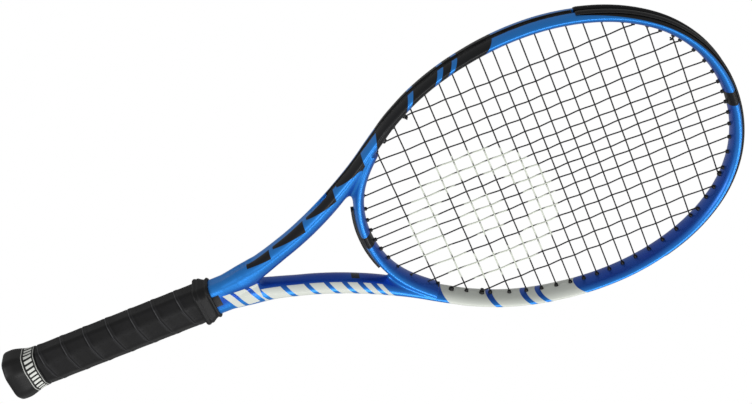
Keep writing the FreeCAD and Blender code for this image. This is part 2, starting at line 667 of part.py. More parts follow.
CW = D.cap_half_width - D.grip_half_width
CH = D.cap_half_height - D.grip_half_height
loft(cap, "cap_flare", [(C(0.0), flare(CW - 2.0, CH - 1.7)), (C(1.6), flare(CW - 0.5, CH - 0.4)), (C(4.0), flare(CW, CH)),
                        (C("cap_rim"), flare(CW, CH)), (C(15.0), flare(CW * 0.66, CH * 0.66)),
                        (C(22.0), flare(CW * 0.22, CH * 0.22)), (C("grip_start", -0.1), octagon())])
pad(cap, "cap_sleeve", C("grip_start", -0.1), C("cap_sleeve_end", "-grip_start", 0.1), [octagon(SL - 0.0)])
pocket(cap, "cap_bore", C("cap_floor"), C("cap_sleeve_end", "-cap_floor", 1.0), [octagon(SLEEVE + 0.05)])
pocket(cap, "cap_window", C(-1.0), C("cap_floor", 2.0), [rectangle(C("window_half_width"), C("window_half_height"))])
for sg in (1, -1):
    z0, z1 = sorted((sg * 13.15, sg * 14.2))
    pocket(cap, "cap_staple_seat_%s" % ("top" if sg > 0 else "bottom"), C(36.0), C(1.2), [box_loop(-5.0, 5.0, z0, z1)])
    for nm, y0 in (("a", -5.0), ("b", 4.2)):
        z0, z1 = sorted((sg * 11.5, sg * 14.0))
        pocket(cap, "cap_staple_leg_%s_%s" % ("top" if sg > 0 else "bottom", nm), C(36.0), C(1.2), [box_loop(y0, y0 + 0.8, z0, z1)])
for nm, y0 in (("a", -5.0), ("b", 4.2)):
    pocket(cap, "cap_grip_staple_leg_%s" % nm, C("grip_start", 3.0), C(1.2), [box_loop(y0, y0 + 0.8, -14.2, -11.5)])

# trap door: a plate that fills the window, with two short clips behind it
door = body_of("trap_door")
pad(door, "door_plate", C(0.3), C("door_thick"), [rectangle(C("window_half_width", "-door_gap"), C("window_half_height", "-door_gap"))])
pad(door, "door_clips", C(0.3, "door_thick", -0.4), C(5.2), [box_loop(-5.0, 5.0, 7.6, 8.8), box_loop(-5.0, 5.0, -8.8, -7.6)])


# ------------------------------------------------------------------ staples, tape and collar
def staple(x0, y0, y1, z_out, z_in, thick=0.56, wide=1.16):
    """Flat wire staple across the handle: a crown at z_out and two legs that reach in to z_in."""
    sg = 1 if z_out > 0 else -1
    zc0, zc1 = sorted((z_out, z_out - sg * thick))
    zl0, zl1 = sorted((z_out - sg * thick * 0.5, z_in))
    crown = Part.makeBox(wide, y1 - y0, zc1 - zc0, V(x0, y0, zc0))
    legs = [Part.makeBox(wide, 0.74, zl1 - zl0, V(x0, y, zl0)) for y in (y0, y1 - 0.74)]
    return crown.fuse(legs).removeSplitter()


top = staple(36.02, -4.97, 4.97, D.grip_half_height - D.grip_thick - 0.02, D.tail_half_height + 0.4)
bottom = staple(36.02, -4.97, 4.97, -(D.grip_half_height - D.grip_thick - 0.02), -(D.tail_half_height + 0.4))
feature("butt_cap_staples", Part.makeCompound([top, bottom]))
feature("grip_start_staple", staple(D.grip_start + 3.02, -4.97, 4.97, -(D.grip_half_height - 0.02), -(D.tail_half_height + 0.4)))


def round_rect(x, w, h_, r):
    """Closed wire of four lines and four arcs across the handle at x."""
    pts = []
    q = r * (1 - math.sqrt(0.5))
    edges = []
    corners = [(w, h_, 1, 1), (-w, h_, -1, 1), (-w, -h_, -1, -1), (w, -h_, 1, -1)]
    runs = []
    for cx, cz, sy, sz in corners:
        a_ = V(x, cx, cz - sz * r)
        m_ = V(x, cx - sy * q, cz - sz * q)
        b_ = V(x, cx - sy * r, cz)
        runs.append((a_, m_, b_) if sy * sz > 0 else (b_, m_, a_))
    for i in range(4):
        a_, m_, b_ = runs[i]
        edges.append(Part.Arc(a_, m_, b_).toShape())
        nxt = runs[(i + 1) % 4][0]
        edges.append(Part.makeLine(b_, nxt))
    return Part.Wire(edges)


def sleeve(x0, x1, w, h_, r, thick):
    outer = Part.Face(round_rect(x0, w + thick, h_ + thick, r + thick)).extrude(V(x1 - x0, 0, 0))
    inner = Part.Face(round_rect(x0 - 1, w, h_, r)).extrude(V(x1 - x0 + 2, 0, 0))
    return outer.cut(inner)


tape = sleeve(D.tape_start, D.tape_end, D.shaft_half_width + 0.03, D.shaft_half_height + 0.03, D.shaft_corner, D.tape_thick)
tail_strip = Part.makeBox(D.tape_tail_end - D.tape_end + 0.5, 2 * D.tape_tail_half, D.tape_thick,
                          V(D.tape_end - 0.5, -D.tape_tail_half + 1.2, D.shaft_half_height + 0.03))
feature("finishing_tape", checked(tape.fuse(tail_strip).removeSplitter(), "tape"))

g = D.tape_thick + D.collar_gap
outer = Part.makeLoft([round_rect(D.collar_start, D.grip_half_width + 1.15, D.grip_half_height + 1.15, 8.4),
                       round_rect(D.collar_start + 1.0, D.grip_half_width + 1.35, D.grip_half_height + 1.35, 8.4),
                       round_rect(D.grip_end + 2.0, D.grip_half_width + 1.15, D.grip_half_height + 0.8, 8.4),
                       round_rect(D.collar_end - 3.0, D.shaft_half_width + 2.0, D.shaft_half_height + 2.2, 8.0),
                       round_rect(D.collar_end, D.shaft_half_width + 1.3, D.shaft_half_height + 1.3, 7.8)], True, True)
inner = Part.makeLoft([round_rect(D.collar_start - 1.0, D.grip_half_width + 0.3, D.grip_half_height + 0.3, 7.4),
                       round_rect(D.grip_end + 0.4, D.grip_half_width + 0.3, D.grip_half_height + 0.3, 7.4),
                       round_rect(D.grip_end + 3.0, D.shaft_half_width + g, D.shaft_half_height + g, 7.2),
                       round_rect(D.collar_end + 1.0, D.shaft_half_width + g, D.shaft_half_height + g, 7.2)], True, True)
feature("rubber_collar", checked(outer.cut(inner), "collar"))

# ------------------------------------------------------------------ check and write
doc.recompute()
for obj in doc.Objects:
    if "Invalid" in obj.State or "Error" in obj.State:
        raise SystemExit("failed object: " + obj.Name)
for obj in PARTS:
    checked(obj.Shape, obj.Label)
    obj.Shape.exportStep("parts/%s.step" % obj.Label)
    print(obj.Label, len(obj.Shape.Solids), round(obj.Shape.Volume, 1))
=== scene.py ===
import bpy
import math
import numpy as np
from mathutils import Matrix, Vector

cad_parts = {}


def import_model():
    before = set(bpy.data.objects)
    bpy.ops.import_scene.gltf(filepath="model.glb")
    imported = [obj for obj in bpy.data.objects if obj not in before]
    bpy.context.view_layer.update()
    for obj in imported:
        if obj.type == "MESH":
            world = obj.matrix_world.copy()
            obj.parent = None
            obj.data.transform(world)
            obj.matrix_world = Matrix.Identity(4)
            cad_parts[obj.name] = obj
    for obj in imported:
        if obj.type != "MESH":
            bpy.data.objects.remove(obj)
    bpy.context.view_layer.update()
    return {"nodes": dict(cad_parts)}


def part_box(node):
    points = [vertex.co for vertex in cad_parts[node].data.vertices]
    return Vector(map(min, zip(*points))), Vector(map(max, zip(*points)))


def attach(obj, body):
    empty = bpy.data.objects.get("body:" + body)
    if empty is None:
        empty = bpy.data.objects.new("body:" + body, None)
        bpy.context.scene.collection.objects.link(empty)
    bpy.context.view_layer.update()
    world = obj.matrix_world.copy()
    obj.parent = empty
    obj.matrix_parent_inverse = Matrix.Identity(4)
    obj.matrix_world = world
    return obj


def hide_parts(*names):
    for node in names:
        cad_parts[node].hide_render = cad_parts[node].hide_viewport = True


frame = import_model()
NODES = frame["nodes"]

# Everything below is worked out in millimetres about the racket's own axes: x from the butt end to the tip,
# y across the head, z out of the string plane.  world() turns that into the row frame, in metres.
CAP_LO, CAP_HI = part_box("butt_cap")
X_OFF = CAP_LO.x * 1000.0
Z_OFF = (CAP_LO.z + CAP_HI.z) * 500.0


def world(p):
    p = np.asarray(p, float)
    return (p + np.array([X_OFF, 0.0, Z_OFF])) / 1000.0


# ------------------------------------------------------------------ small maths
def spline(t, y):
    """Natural cubic spline through (t, y); returns a function that evaluates it."""
    t, y = np.asarray(t, float), np.asarray(y, float)
    n = len(t)
    h = np.diff(t)
    m = np.zeros((n, n))
    r = np.zeros((n,) + y.shape[1:])
    m[0, 0] = m[-1, -1] = 1.0
    for i in range(1, n - 1):
        m[i, i - 1], m[i, i], m[i, i + 1] = h[i - 1], 2 * (h[i - 1] + h[i]), h[i]
        r[i] = 6 * ((y[i + 1] - y[i]) / h[i] - (y[i] - y[i - 1]) / h[i - 1])
    c = np.linalg.solve(m, r)

    def at(q):
        q = np.atleast_1d(np.asarray(q, float))
        k = np.clip(np.searchsorted(t, q) - 1, 0, n - 2)
        d, hk = q - t[k], h[k]
        sh = (slice(None),) + (None,) * (y.ndim - 1)
        a, b = (t[k + 1] - q)[sh], d[sh]
        hk = hk[sh]
        return (c[k] * a ** 3 + c[k + 1] * b ** 3) / (6 * hk) + (y[k] / hk - c[k] * hk / 6) * a + (y[k + 1] / hk - c[k + 1] * hk / 6) * b

    return at


def smin(a, b, k):
    k = np.maximum(k, 1e-4)
    h = np.clip(0.5 + 0.5 * (b - a) / k, 0, 1)
    return b + (a - b) * h - k * h * (1 - h)


def smax(a, b, k):
    return -smin(-a, -b, k)


def step(a, b, x):
    t = np.clip((x - a) / (b - a), 0, 1)
    return t * t * (3 - 2 * t)


# ------------------------------------------------------------------ centre lines, as the CAD frame has them
GAP = 0.05
TAIL, LEG = 12.0 / 2 - GAP / 2, 15.0 / 2 - GAP / 2
HALF = [
    (9, GAP + TAIL, TAIL, 9.4, 1, 0), (60, GAP + TAIL, TAIL, 9.4, 1, 0), (120, GAP + TAIL, TAIL, 9.4, 1, 0),
    (165, GAP + TAIL, TAIL, 9.4, 1, 0), (179.5, GAP + TAIL + .1, TAIL + .1, 9.5, 1, 0), (184.5, GAP + LEG - .1, LEG - .1, 10.9, 1, 0),
    (187, GAP + LEG, LEG, 11, 1, 0), (200, GAP + LEG, LEG, 11, 1, 0), (212, GAP + LEG + .1, LEG + .1, 11, 1, 0),
    (222, 8.15, 8.05, 11.2, 1, 0), (232, 9.0, 8.85, 11.5, .9, 0), (240, 10.5, 8.9, 11.8, .65, 0), (250, 13.2, 8.5, 12.0, .35, 0),
    (260, 16.3, 8.3, 12.1, .15, 0), (270, 19.7, 8.2, 12.2, 0, 0), (280, 23.1, 8.15, 12.2, 0, 0), (290, 26.9, 8.1, 12.2, 0, 0),
    (300, 31.1, 8.1, 12.2, 0, 0), (310, 35.7, 8.0, 12.2, 0, .1), (320, 40.7, 7.9, 12.2, 0, .5), (330, 46.1, 7.7, 12.3, 0, 1),
    (340, 52.0, 7.4, 12.4, 0, 1), (350, 58.3, 6.9, 12.5, 0, 1), (360, 65.0, 6.4, 12.6, 0, 1), (370, 72.3, 5.9, 12.7, 0, 1),
    (379.6, 79.6, 5.5, 12.8, 0, 1),
]
HOOP_X = 515.0
HOOP = [(145, 152.1), (140, 147.9), (135, 143.9), (130, 140.6), (125, 137.6), (120, 135.0), (115, 132.8), (110, 131.1),
        (105, 129.8), (100, 129.2), (95, 129.0), (90, 129.3), (85, 130.0), (80, 131.15), (75, 132.7), (70, 134.6),
        (65, 136.85), (60, 139.4), (55, 142.3), (50, 145.4), (45, 148.6), (40, 151.8), (35, 155.0), (30, 157.8),
        (25, 160.1), (20, 162.0), (15, 163.3), (10, 164.15), (5, 164.6), (0, 164.7)]
for phi, rad in HOOP:
    b = 12.9 + (11.6 - 12.9) * max(0.0, min(1.0, (75 - phi) / 60.0))
    HALF.append((HOOP_X + rad * math.cos(math.radians(phi)), rad * math.sin(math.radians(phi)), 4.95 + max(0.0, phi - 125) * 0.02, b, 0, 1))
ST = np.array(HALF + [(x, -y, a, b, w, c) for x, y, a, b, w, c in reversed(HALF[:-1])], float)
chord = np.concatenate([[0], np.cumsum(np.hypot(*np.diff(ST[:, :2], axis=0).T))])
_path = spline(chord, ST[:, :2])


def densify(path, t_end, vals_t, vals, gap):
    t = np.linspace(0, t_end, int(t_end / 0.25))
    p = path(t)
    s = np.concatenate([[0], np.cumsum(np.hypot(*np.diff(p, axis=0).T))])
    u = np.linspace(0, s[-1], int(s[-1] / gap) + 1)
    tu = np.interp(u, s, t)
    p = path(tu)
    d = path(tu + 0.01) - path(tu - 0.01)
    d /= np.linalg.norm(d, axis=1)[:, None]
    v = np.stack([np.interp(tu, vals_t, vals[:, i]) for i in range(vals.shape[1])], 1)
    return u, p, d, v


S_H, P_H, T_H, V_H = densify(_path, chord[-1], chord, ST[:, 2:], 1.0)
N_H = np.stack([-T_H[:, 1], T_H[:, 0]], 1)
HALF_COUNT = int(np.argmax(P_H[:, 1] < 0))       # samples of the +Y half
S_TIP = 0.5 * S_H[-1]

BR = [(344.8, 0), (345.2, 10), (346.7, 20), (349.2, 30), (353.2, 40.5), (359.4, 52.0), (367.0, 62.2), (373.6, 69.6), (380.2, 76.4)]
BR = np.array([(x, -y) for x, y in reversed(BR[1:])] + BR, float)
bchord = np.concatenate([[0], np.cumsum(np.hypot(*np.diff(BR, axis=0).T))])
_bpath = spline(bchord, BR)
bv = np.interp(np.abs(BR[:, 1]), [0, 40, 62, 77], [4.7, 4.75, 5.2, 5.7])
bh = np.interp(np.abs(BR[:, 1]), [0, 40, 62, 77], [11.4, 11.6, 12.3, 12.8])
S_B, P_B, T_B, V_B = densify(_bpath, bchord[-1], bchord, np.stack([bv, bh], 1), 1.0)
N_B = np.stack([-T_B[:, 1], T_B[:, 0]], 1)
N_B[N_B[:, 0] > 0] *= -1
B_MID = len(S_B) // 2

# ------------------------------------------------------------------ section of the tube: a lens whose crest leans outwards
LENS = np.array([(1.0, 0), (1.0, .20), (.965, .38), (.875, .56), (.745, .725), (.575, .87), (.395, .965), (.22, .998), (.03, .985),
                 (-.24, .915), (-.5, .80), (-.72, .64), (-.88, .43), (-.97, .21), (-1.0, 0)])
_la = np.arctan2(LENS[:, 1], LENS[:, 0])
_lr = spline(np.concatenate([-_la[3:0:-1], _la, 2 * math.pi - _la[-2:-5:-1]]),
             np.hypot(*np.concatenate([LENS[3:0:-1], LENS, LENS[-2:-5:-1]]).T))
LT = np.linspace(0, math.pi, 721)
LR = _lr(LT)


def lens(n, z, a, b):
    u, v = n / a, z / b
    rho = np.maximum(np.hypot(u, v), 1e-3)
    r = np.interp(np.arctan2(v, u), LT, LR)
    return np.hypot(n, z) * (1 - r / rho)


def rrect(u, v, w, h, r):
    qx, qy = np.abs(u) - (w - r), np.abs(v) - (h - r)
    return np.minimum(np.maximum(qx, qy), 0) + np.hypot(np.maximum(qx, 0), np.maximum(qy, 0)) - r


# nearest centre-line sample on a 1 mm map of the half racket
GX, GY = np.arange(0, 700), np.arange(0, 150)


def nearest_map(pts):
    xx, yy = np.meshgrid(GX, GY, indexing="ij")
    q = np.stack([xx.ravel(), yy.ravel()], 1).astype(np.float32)
    pts = pts.astype(np.float32)
    out = np.empty(len(q), np.int32)
    for i in range(0, len(q), 8000):
        d = (q[i:i + 8000, 0:1] - pts[None, :, 0]) ** 2 + (q[i:i + 8000, 1:2] - pts[None, :, 1]) ** 2
        out[i:i + 8000] = np.argmin(d, 1)
    return out.reshape(xx.shape)


HP, HN, HT, HS, HV = (q[:HALF_COUNT + 4] for q in (P_H, N_H, T_H, S_H, V_H))
BP, BN, BT, BS, BV = (q[B_MID - 3:] for q in (P_B, N_B, T_B, S_B, V_B))
MAP_H, MAP_B = nearest_map(HP[:HALF_COUNT]), nearest_map(BP)


def locate(x, y, table, pts, nrm, tan):
    """Index, run along and offset from a centre line for points of the +Y half."""
    ix = np.clip(np.rint(x).astype(int), 0, 699)
    iy = np.clip(np.rint(y).astype(int), 0, 149)
    k0 = table[ix, iy]
    best, bd = k0, np.full(x.shape, 1e18)
    for o in range(-4, 5):
        k = np.clip(k0 + o, 0, len(pts) - 1)
        d = (x - pts[k, 0]) ** 2 + (y - pts[k, 1]) ** 2
        m = d < bd
        best, bd = np.where(m, k, best), np.where(m, d, bd)
    dx, dy = x - pts[best, 0], y - pts[best, 1]
    return best, dx * tan[best, 0] + dy * tan[best, 1], dx * nrm[best, 0] + dy * nrm[best, 1]


SHAFT_X = [0, 177, 187, 205, 212, 222, 232, 240, 246]
SHAFT_W = [12, 12, 15, 15, 15, 16.1, 17.6, 19.0, 20.2]
SHAFT_H = [9.4, 9.4, 11, 11, 10.95, 10.4, 9.3, 7.8, 6.6]
CH_HALF, CH_DEEP = 3.0, 2.3


def field(p, parts=False):
    """Signed distance, nearly, from the frame's surface; negative inside."""
    x, y, z = p[:, 0], np.abs(p[:, 1]), np.abs(p[:, 2])
    k, run, n = locate(x, y, MAP_H, HP, HN, HT)
    s = HS[k] + run
    a, b, w, c = (np.interp(s, HS, HV[:, i]) for i in range(4))
    f = lens(n, z, a, b)
    m = w > 0.001
    if m.any():
        r = np.minimum(7.0, a[m] * 0.95)
        f[m] = f[m] * (1 - w[m]) + rrect(n[m], z[m], a[m], b[m], r) * w[m]
    f = np.where(s < 0, np.maximum(f, -s), f)
    shaft = rrect(y, z, np.interp(x, SHAFT_X, SHAFT_W), np.interp(x, SHAFT_X, SHAFT_H), np.interp(x, [0, 177, 187, 240, 246], [5.7, 5.7, 7, 6.5, 6]))
    shaft = smax(smax(shaft, x - 241.5, 4.0), 9.0 - x, 0.2)
    f = smin(f, shaft, np.interp(x, [0, 210, 226, 250], [0.01, 0.01, 4.0, 5.0]))
    kb, runb, nb = locate(x, y, MAP_B, BP, BN, BT)
    sb = BS[kb] + runb
    fb = lens(nb, z, np.interp(sb, BS, BV[:, 0]), np.interp(sb, BS, BV[:, 1]))
    fb = np.where(kb >= len(BP) - 1, np.maximum(fb, runb), fb)
    kk = np.interp(x, [335, 362, 372, 386, 396], [12.0, 10.0, 6.0, 1.2, 0.05]) * (1 - 0.72 * np.clip(z / 11.0, 0, 1) ** 2)
    g = smin(f, fb, kk)
    groove = np.maximum(z - CH_HALF, (a - CH_DEEP * c) - n)
    groove = np.maximum(groove, 0.02 - c)
    g = smax(g, -groove, 0.35)
    if parts:
        return g, f, fb, s, n
    return g


def gradient(p, e=0.12):
    out = np.empty_like(p)
    for i in range(3):
        d = np.zeros(3)
        d[i] = e
        out[:, i] = (field(p + d) - field(p - d)) / (2 * e)
    return out


def frame_mesh(h):
    """Vertices, normals and quads of the frame's surface, on an h mm lattice, drawn onto the true surface."""
    xs = np.arange(6.0, 692.0, h)
    ys = (np.arange(int(139 / h)) + 0.5) * h
    zs = (np.arange(int(14.5 / h) + 1) + 0.5) * h
    q = np.empty((len(xs), len(ys), len(zs)), np.float32)
    xx, yy = np.meshgrid(xs, ys, indexing="ij")
    for k, z in enumerate(zs):
        q[:, :, k] = field(np.stack([xx.ravel(), yy.ravel(), np.full(xx.size, z)], 1)).reshape(xx.shape)
    q = np.concatenate([q[:, ::-1], q], 1)
    q = np.concatenate([q[:, :, ::-1], q], 2)
    ya = np.concatenate([-ys[::-1], ys])
    za = np.concatenate([-zs[::-1], zs])
    s = q < 0
    act = np.zeros(np.array(s.shape) - 1, bool)
    first = s[:-1, :-1, :-1]
    for dx in (0, 1):
        for dy in (0, 1):
            for dz in (0, 1):
                act |= s[dx:s.shape[0] - 1 + dx, dy:s.shape[1] - 1 + dy, dz:s.shape[2] - 1 + dz] != first
    idx = np.full(act.shape, -1, np.int64)
    cells = np.argwhere(act)
    idx[act] = np.arange(len(cells))
    pts = np.stack([xs[cells[:, 0]], ya[cells[:, 1]], za[cells[:, 2]]], 1) + h * 0.5
    start = pts.copy()
    for _ in range(5):
        g = gradient(pts)
        f = field(pts)
        move = -f[:, None] * g / np.maximum((g * g).sum(1), 0.05)[:, None]
        ln = np.linalg.norm(move, axis=1)
        move *= np.minimum(1, 0.6 * h / np.maximum(ln, 1e-9))[:, None]
        pts = pts + move
    off = pts - start
    ln = np.linalg.norm(off, axis=1)
    pts = start + off * np.minimum(1, 1.3 * h / np.maximum(ln, 1e-9))[:, None]
    nor = gradient(pts, 0.25)
    nor /= np.linalg.norm(nor, axis=1)[:, None]
    quads = []
    for ax in range(3):
        lo = [slice(None)] * 3
        hi = [slice(None)] * 3
        lo[ax], hi[ax] = slice(0, -1), slice(1, None)
        a, b = s[tuple(lo)], s[tuple(hi)]
        e = np.argwhere(a != b)
        u, v = (ax + 1) % 3, (ax + 2) % 3
        e = e[(e[:, u] > 0) & (e[:, v] > 0) & (e[:, u] < s.shape[u] - 1) & (e[:, v] < s.shape[v] - 1)]
        inside_low = s[e[:, 0], e[:, 1], e[:, 2]]
        c = []
        for du, dv in ((-1, -1), (0, -1), (0, 0), (-1, 0)):
            w = e.copy()
            w[:, u] += du
            w[:, v] += dv
            c.append(idx[w[:, 0], w[:, 1], w[:, 2]])
        c = np.stack(c, 1)
        c[~inside_low] = c[~inside_low][:, ::-1]
        quads.append(c)
    quads = np.concatenate(quads)
    quads = quads[(quads >= 0).all(1)]
    return pts, nor, quads


# ------------------------------------------------------------------ mesh helpers
def make_mesh(name, verts, faces, normals=None, attrs=None, smooth=True):
    me = bpy.data.meshes.new(name)
    verts = np.asarray(verts, float)
    if isinstance(faces, np.ndarray):
        loops = faces.reshape(-1)
        n_f, w = faces.shape
        me.vertices.add(len(verts))
        me.vertices.foreach_set("co", world(verts).ravel().astype(np.float32))
        me.loops.add(len(loops))
        me.loops.foreach_set("vertex_index", loops.astype(np.int32))
        me.polygons.add(n_f)
        me.polygons.foreach_set("loop_start", (np.arange(n_f) * w).astype(np.int32))
        me.polygons.foreach_set("loop_total", np.full(n_f, w, np.int32))
        me.update(calc_edges=True)
    else:
        me.from_pydata([tuple(v) for v in world(verts)], [], [tuple(int(i) for i in f) for f in faces])
        me.update()
    me.validate(clean_customdata=False)
    me.polygons.foreach_set("use_smooth", np.full(len(me.polygons), smooth))
    for key, val in (attrs or {}).items():
        at = me.attributes.new(key, "FLOAT", "POINT")
        at.data.foreach_set("value", np.asarray(val, np.float32))
    if normals is not None:
        me.normals_split_custom_set_from_vertices([tuple(v) for v in normals])
    ob = bpy.data.objects.new(name, me)
    bpy.context.scene.collection.objects.link(ob)
    return ob


def grid_faces(rows, cols, close_rows=False, close_cols=False):
    r = np.arange(rows if close_rows else rows - 1)
    c = np.arange(cols if close_cols else cols - 1)
    rr, cc = np.meshgrid(r, c, indexing="ij")
    r2, c2 = (rr + 1) % rows, (cc + 1) % cols
    return np.stack([rr * cols + cc, rr * cols + c2, r2 * cols + c2, r2 * cols + cc], -1).reshape(-1, 4)


def merge(parts):
    """Several (verts, quads) as one."""
    vs, fs, base = [], [], 0
    for v, f in parts:
        vs.append(v)
        fs.append(np.asarray(f) + base)
        base += len(v)
    return np.concatenate(vs), np.concatenate(fs)


def capped(verts, rows, cols, flip=False):
    """Closed ring grid with a fan of quads at each end."""
    f = [grid_faces(rows, cols, close_cols=True)]
    v = [verts]
    base = len(verts)
    for row, rev in ((0, True), (rows - 1, False)):
        ring = verts[row * cols:(row + 1) * cols]
        v.append(ring.mean(0)[None])
        i = np.arange(0, cols, 2)
        a = row * cols + i
        b = row * cols + (i + 1) % cols
        c = row * cols + (i + 2) % cols
        fan = np.stack([np.full(len(i), base), a, b, c], 1)
        if rev:
            fan = fan[:, ::-1]
        f.append(fan)
        base += 1
    out = np.concatenate(f)
    return np.concatenate(v), (out[:, ::-1] if flip else out)


def sweep(centres, frames_n, section, closed_ends=True):
    """Section (m x 2, in n and z) carried along centres; section may be one per centre."""
    rows, cols = len(centres), section.shape[-2]
    sec = np.broadcast_to(section, (rows, cols, 2))
    v = np.zeros((rows, cols, 3))
    v[:, :, 0] = centres[:, None, 0] + frames_n[:, None, 0] * sec[:, :, 0]
    v[:, :, 1] = centres[:, None, 1] + frames_n[:, None, 1] * sec[:, :, 0]
    v[:, :, 2] = sec[:, :, 1]
    if centres.shape[1] == 3:
        v[:, :, 2] += centres[:, None, 2]
    return capped(v.reshape(-1, 3), rows, cols)


def round_corners(poly, r, cnt=3):
    """Closed polygon with its corners rounded by r (or by each corner's own radius)."""
    poly = np.asarray(poly, float)
    rs = np.broadcast_to(np.asarray(r, float), (len(poly),))
    out = []
    for i in range(len(poly)):
        p0, p1, p2 = poly[i - 1], poly[i], poly[(i + 1) % len(poly)]
        a, b = p0 - p1, p2 - p1
        la, lb = np.linalg.norm(a), np.linalg.norm(b)
        q = min(rs[i], la * 0.45, lb * 0.45)
        s, e = p1 + a / la * q, p1 + b / lb * q
        for t in np.linspace(0, 1, cnt + 1):
            out.append((1 - t) ** 2 * s + 2 * t * (1 - t) * p1 + t * t * e)
    return np.array(out)


def tube_along(pts, radius, sides=10, up=None):
    """Round tube along a polyline (k x 3), with a steady frame."""
    pts = np.asarray(pts, float)
    d = np.gradient(pts, axis=0)
    d /= np.linalg.norm(d, axis=1)[:, None]
    ref = np.array([0, 0, 1.0]) if up is None else up
    side = np.cross(d, ref)
    ln = np.linalg.norm(side, axis=1)
    for i in range(len(side)):
        if ln[i] < 1e-3:
            side[i] = side[i - 1] if i else np.array([1.0, 0, 0])
        else:
            side[i] /= ln[i]
    v2 = np.cross(side, d)
    q = np.arange(sides) * 2 * math.pi / sides
    r = np.broadcast_to(np.asarray(radius, float), (len(pts),))[:, None, None]
    v = pts[:, None] + r * (np.cos(q)[None, :, None] * side[:, None] + np.sin(q)[None, :, None] * v2[:, None])
    return capped(v.reshape(-1, 3), len(pts), sides)


def revolve(origin, axis, profile, sides=16):
    """Profile of (distance along the axis, radius) turned about it; the first and last rows may be radius 0."""
    axis = np.asarray(axis, float) / np.linalg.norm(axis)
    ref = np.array([0, 0, 1.0]) if abs(axis[2]) < 0.9 else np.array([1.0, 0, 0])
    u = np.cross(axis, ref)
    u /= np.linalg.norm(u)
    w = np.cross(axis, u)
    q = np.arange(sides) * 2 * math.pi / sides
    prof = np.asarray(profile, float)
    v = origin + prof[:, 0, None, None] * axis + prof[:, 1, None, None] * (np.cos(q)[None, :, None] * u + np.sin(q)[None, :, None] * w)
    return v.reshape(-1, 3), grid_faces(len(prof), sides, close_cols=True)[:, ::-1]


# ------------------------------------------------------------------ node graphs written as sums
class Sock:
    """One value in a shader's node graph, with arithmetic."""

    def __init__(self, g, s):
        self.g, self.s = g, s

    def __add__(self, o): return self.g.m("ADD", self, o)
    def __radd__(self, o): return self.g.m("ADD", o, self)
    def __sub__(self, o): return self.g.m("SUBTRACT", self, o)
    def __rsub__(self, o): return self.g.m("SUBTRACT", o, self)
    def __mul__(self, o): return self.g.m("MULTIPLY", self, o)
    def __rmul__(self, o): return self.g.m("MULTIPLY", o, self)
    def __truediv__(self, o): return self.g.m("DIVIDE", self, o)
    def __neg__(self): return self.g.m("MULTIPLY", self, -1.0)


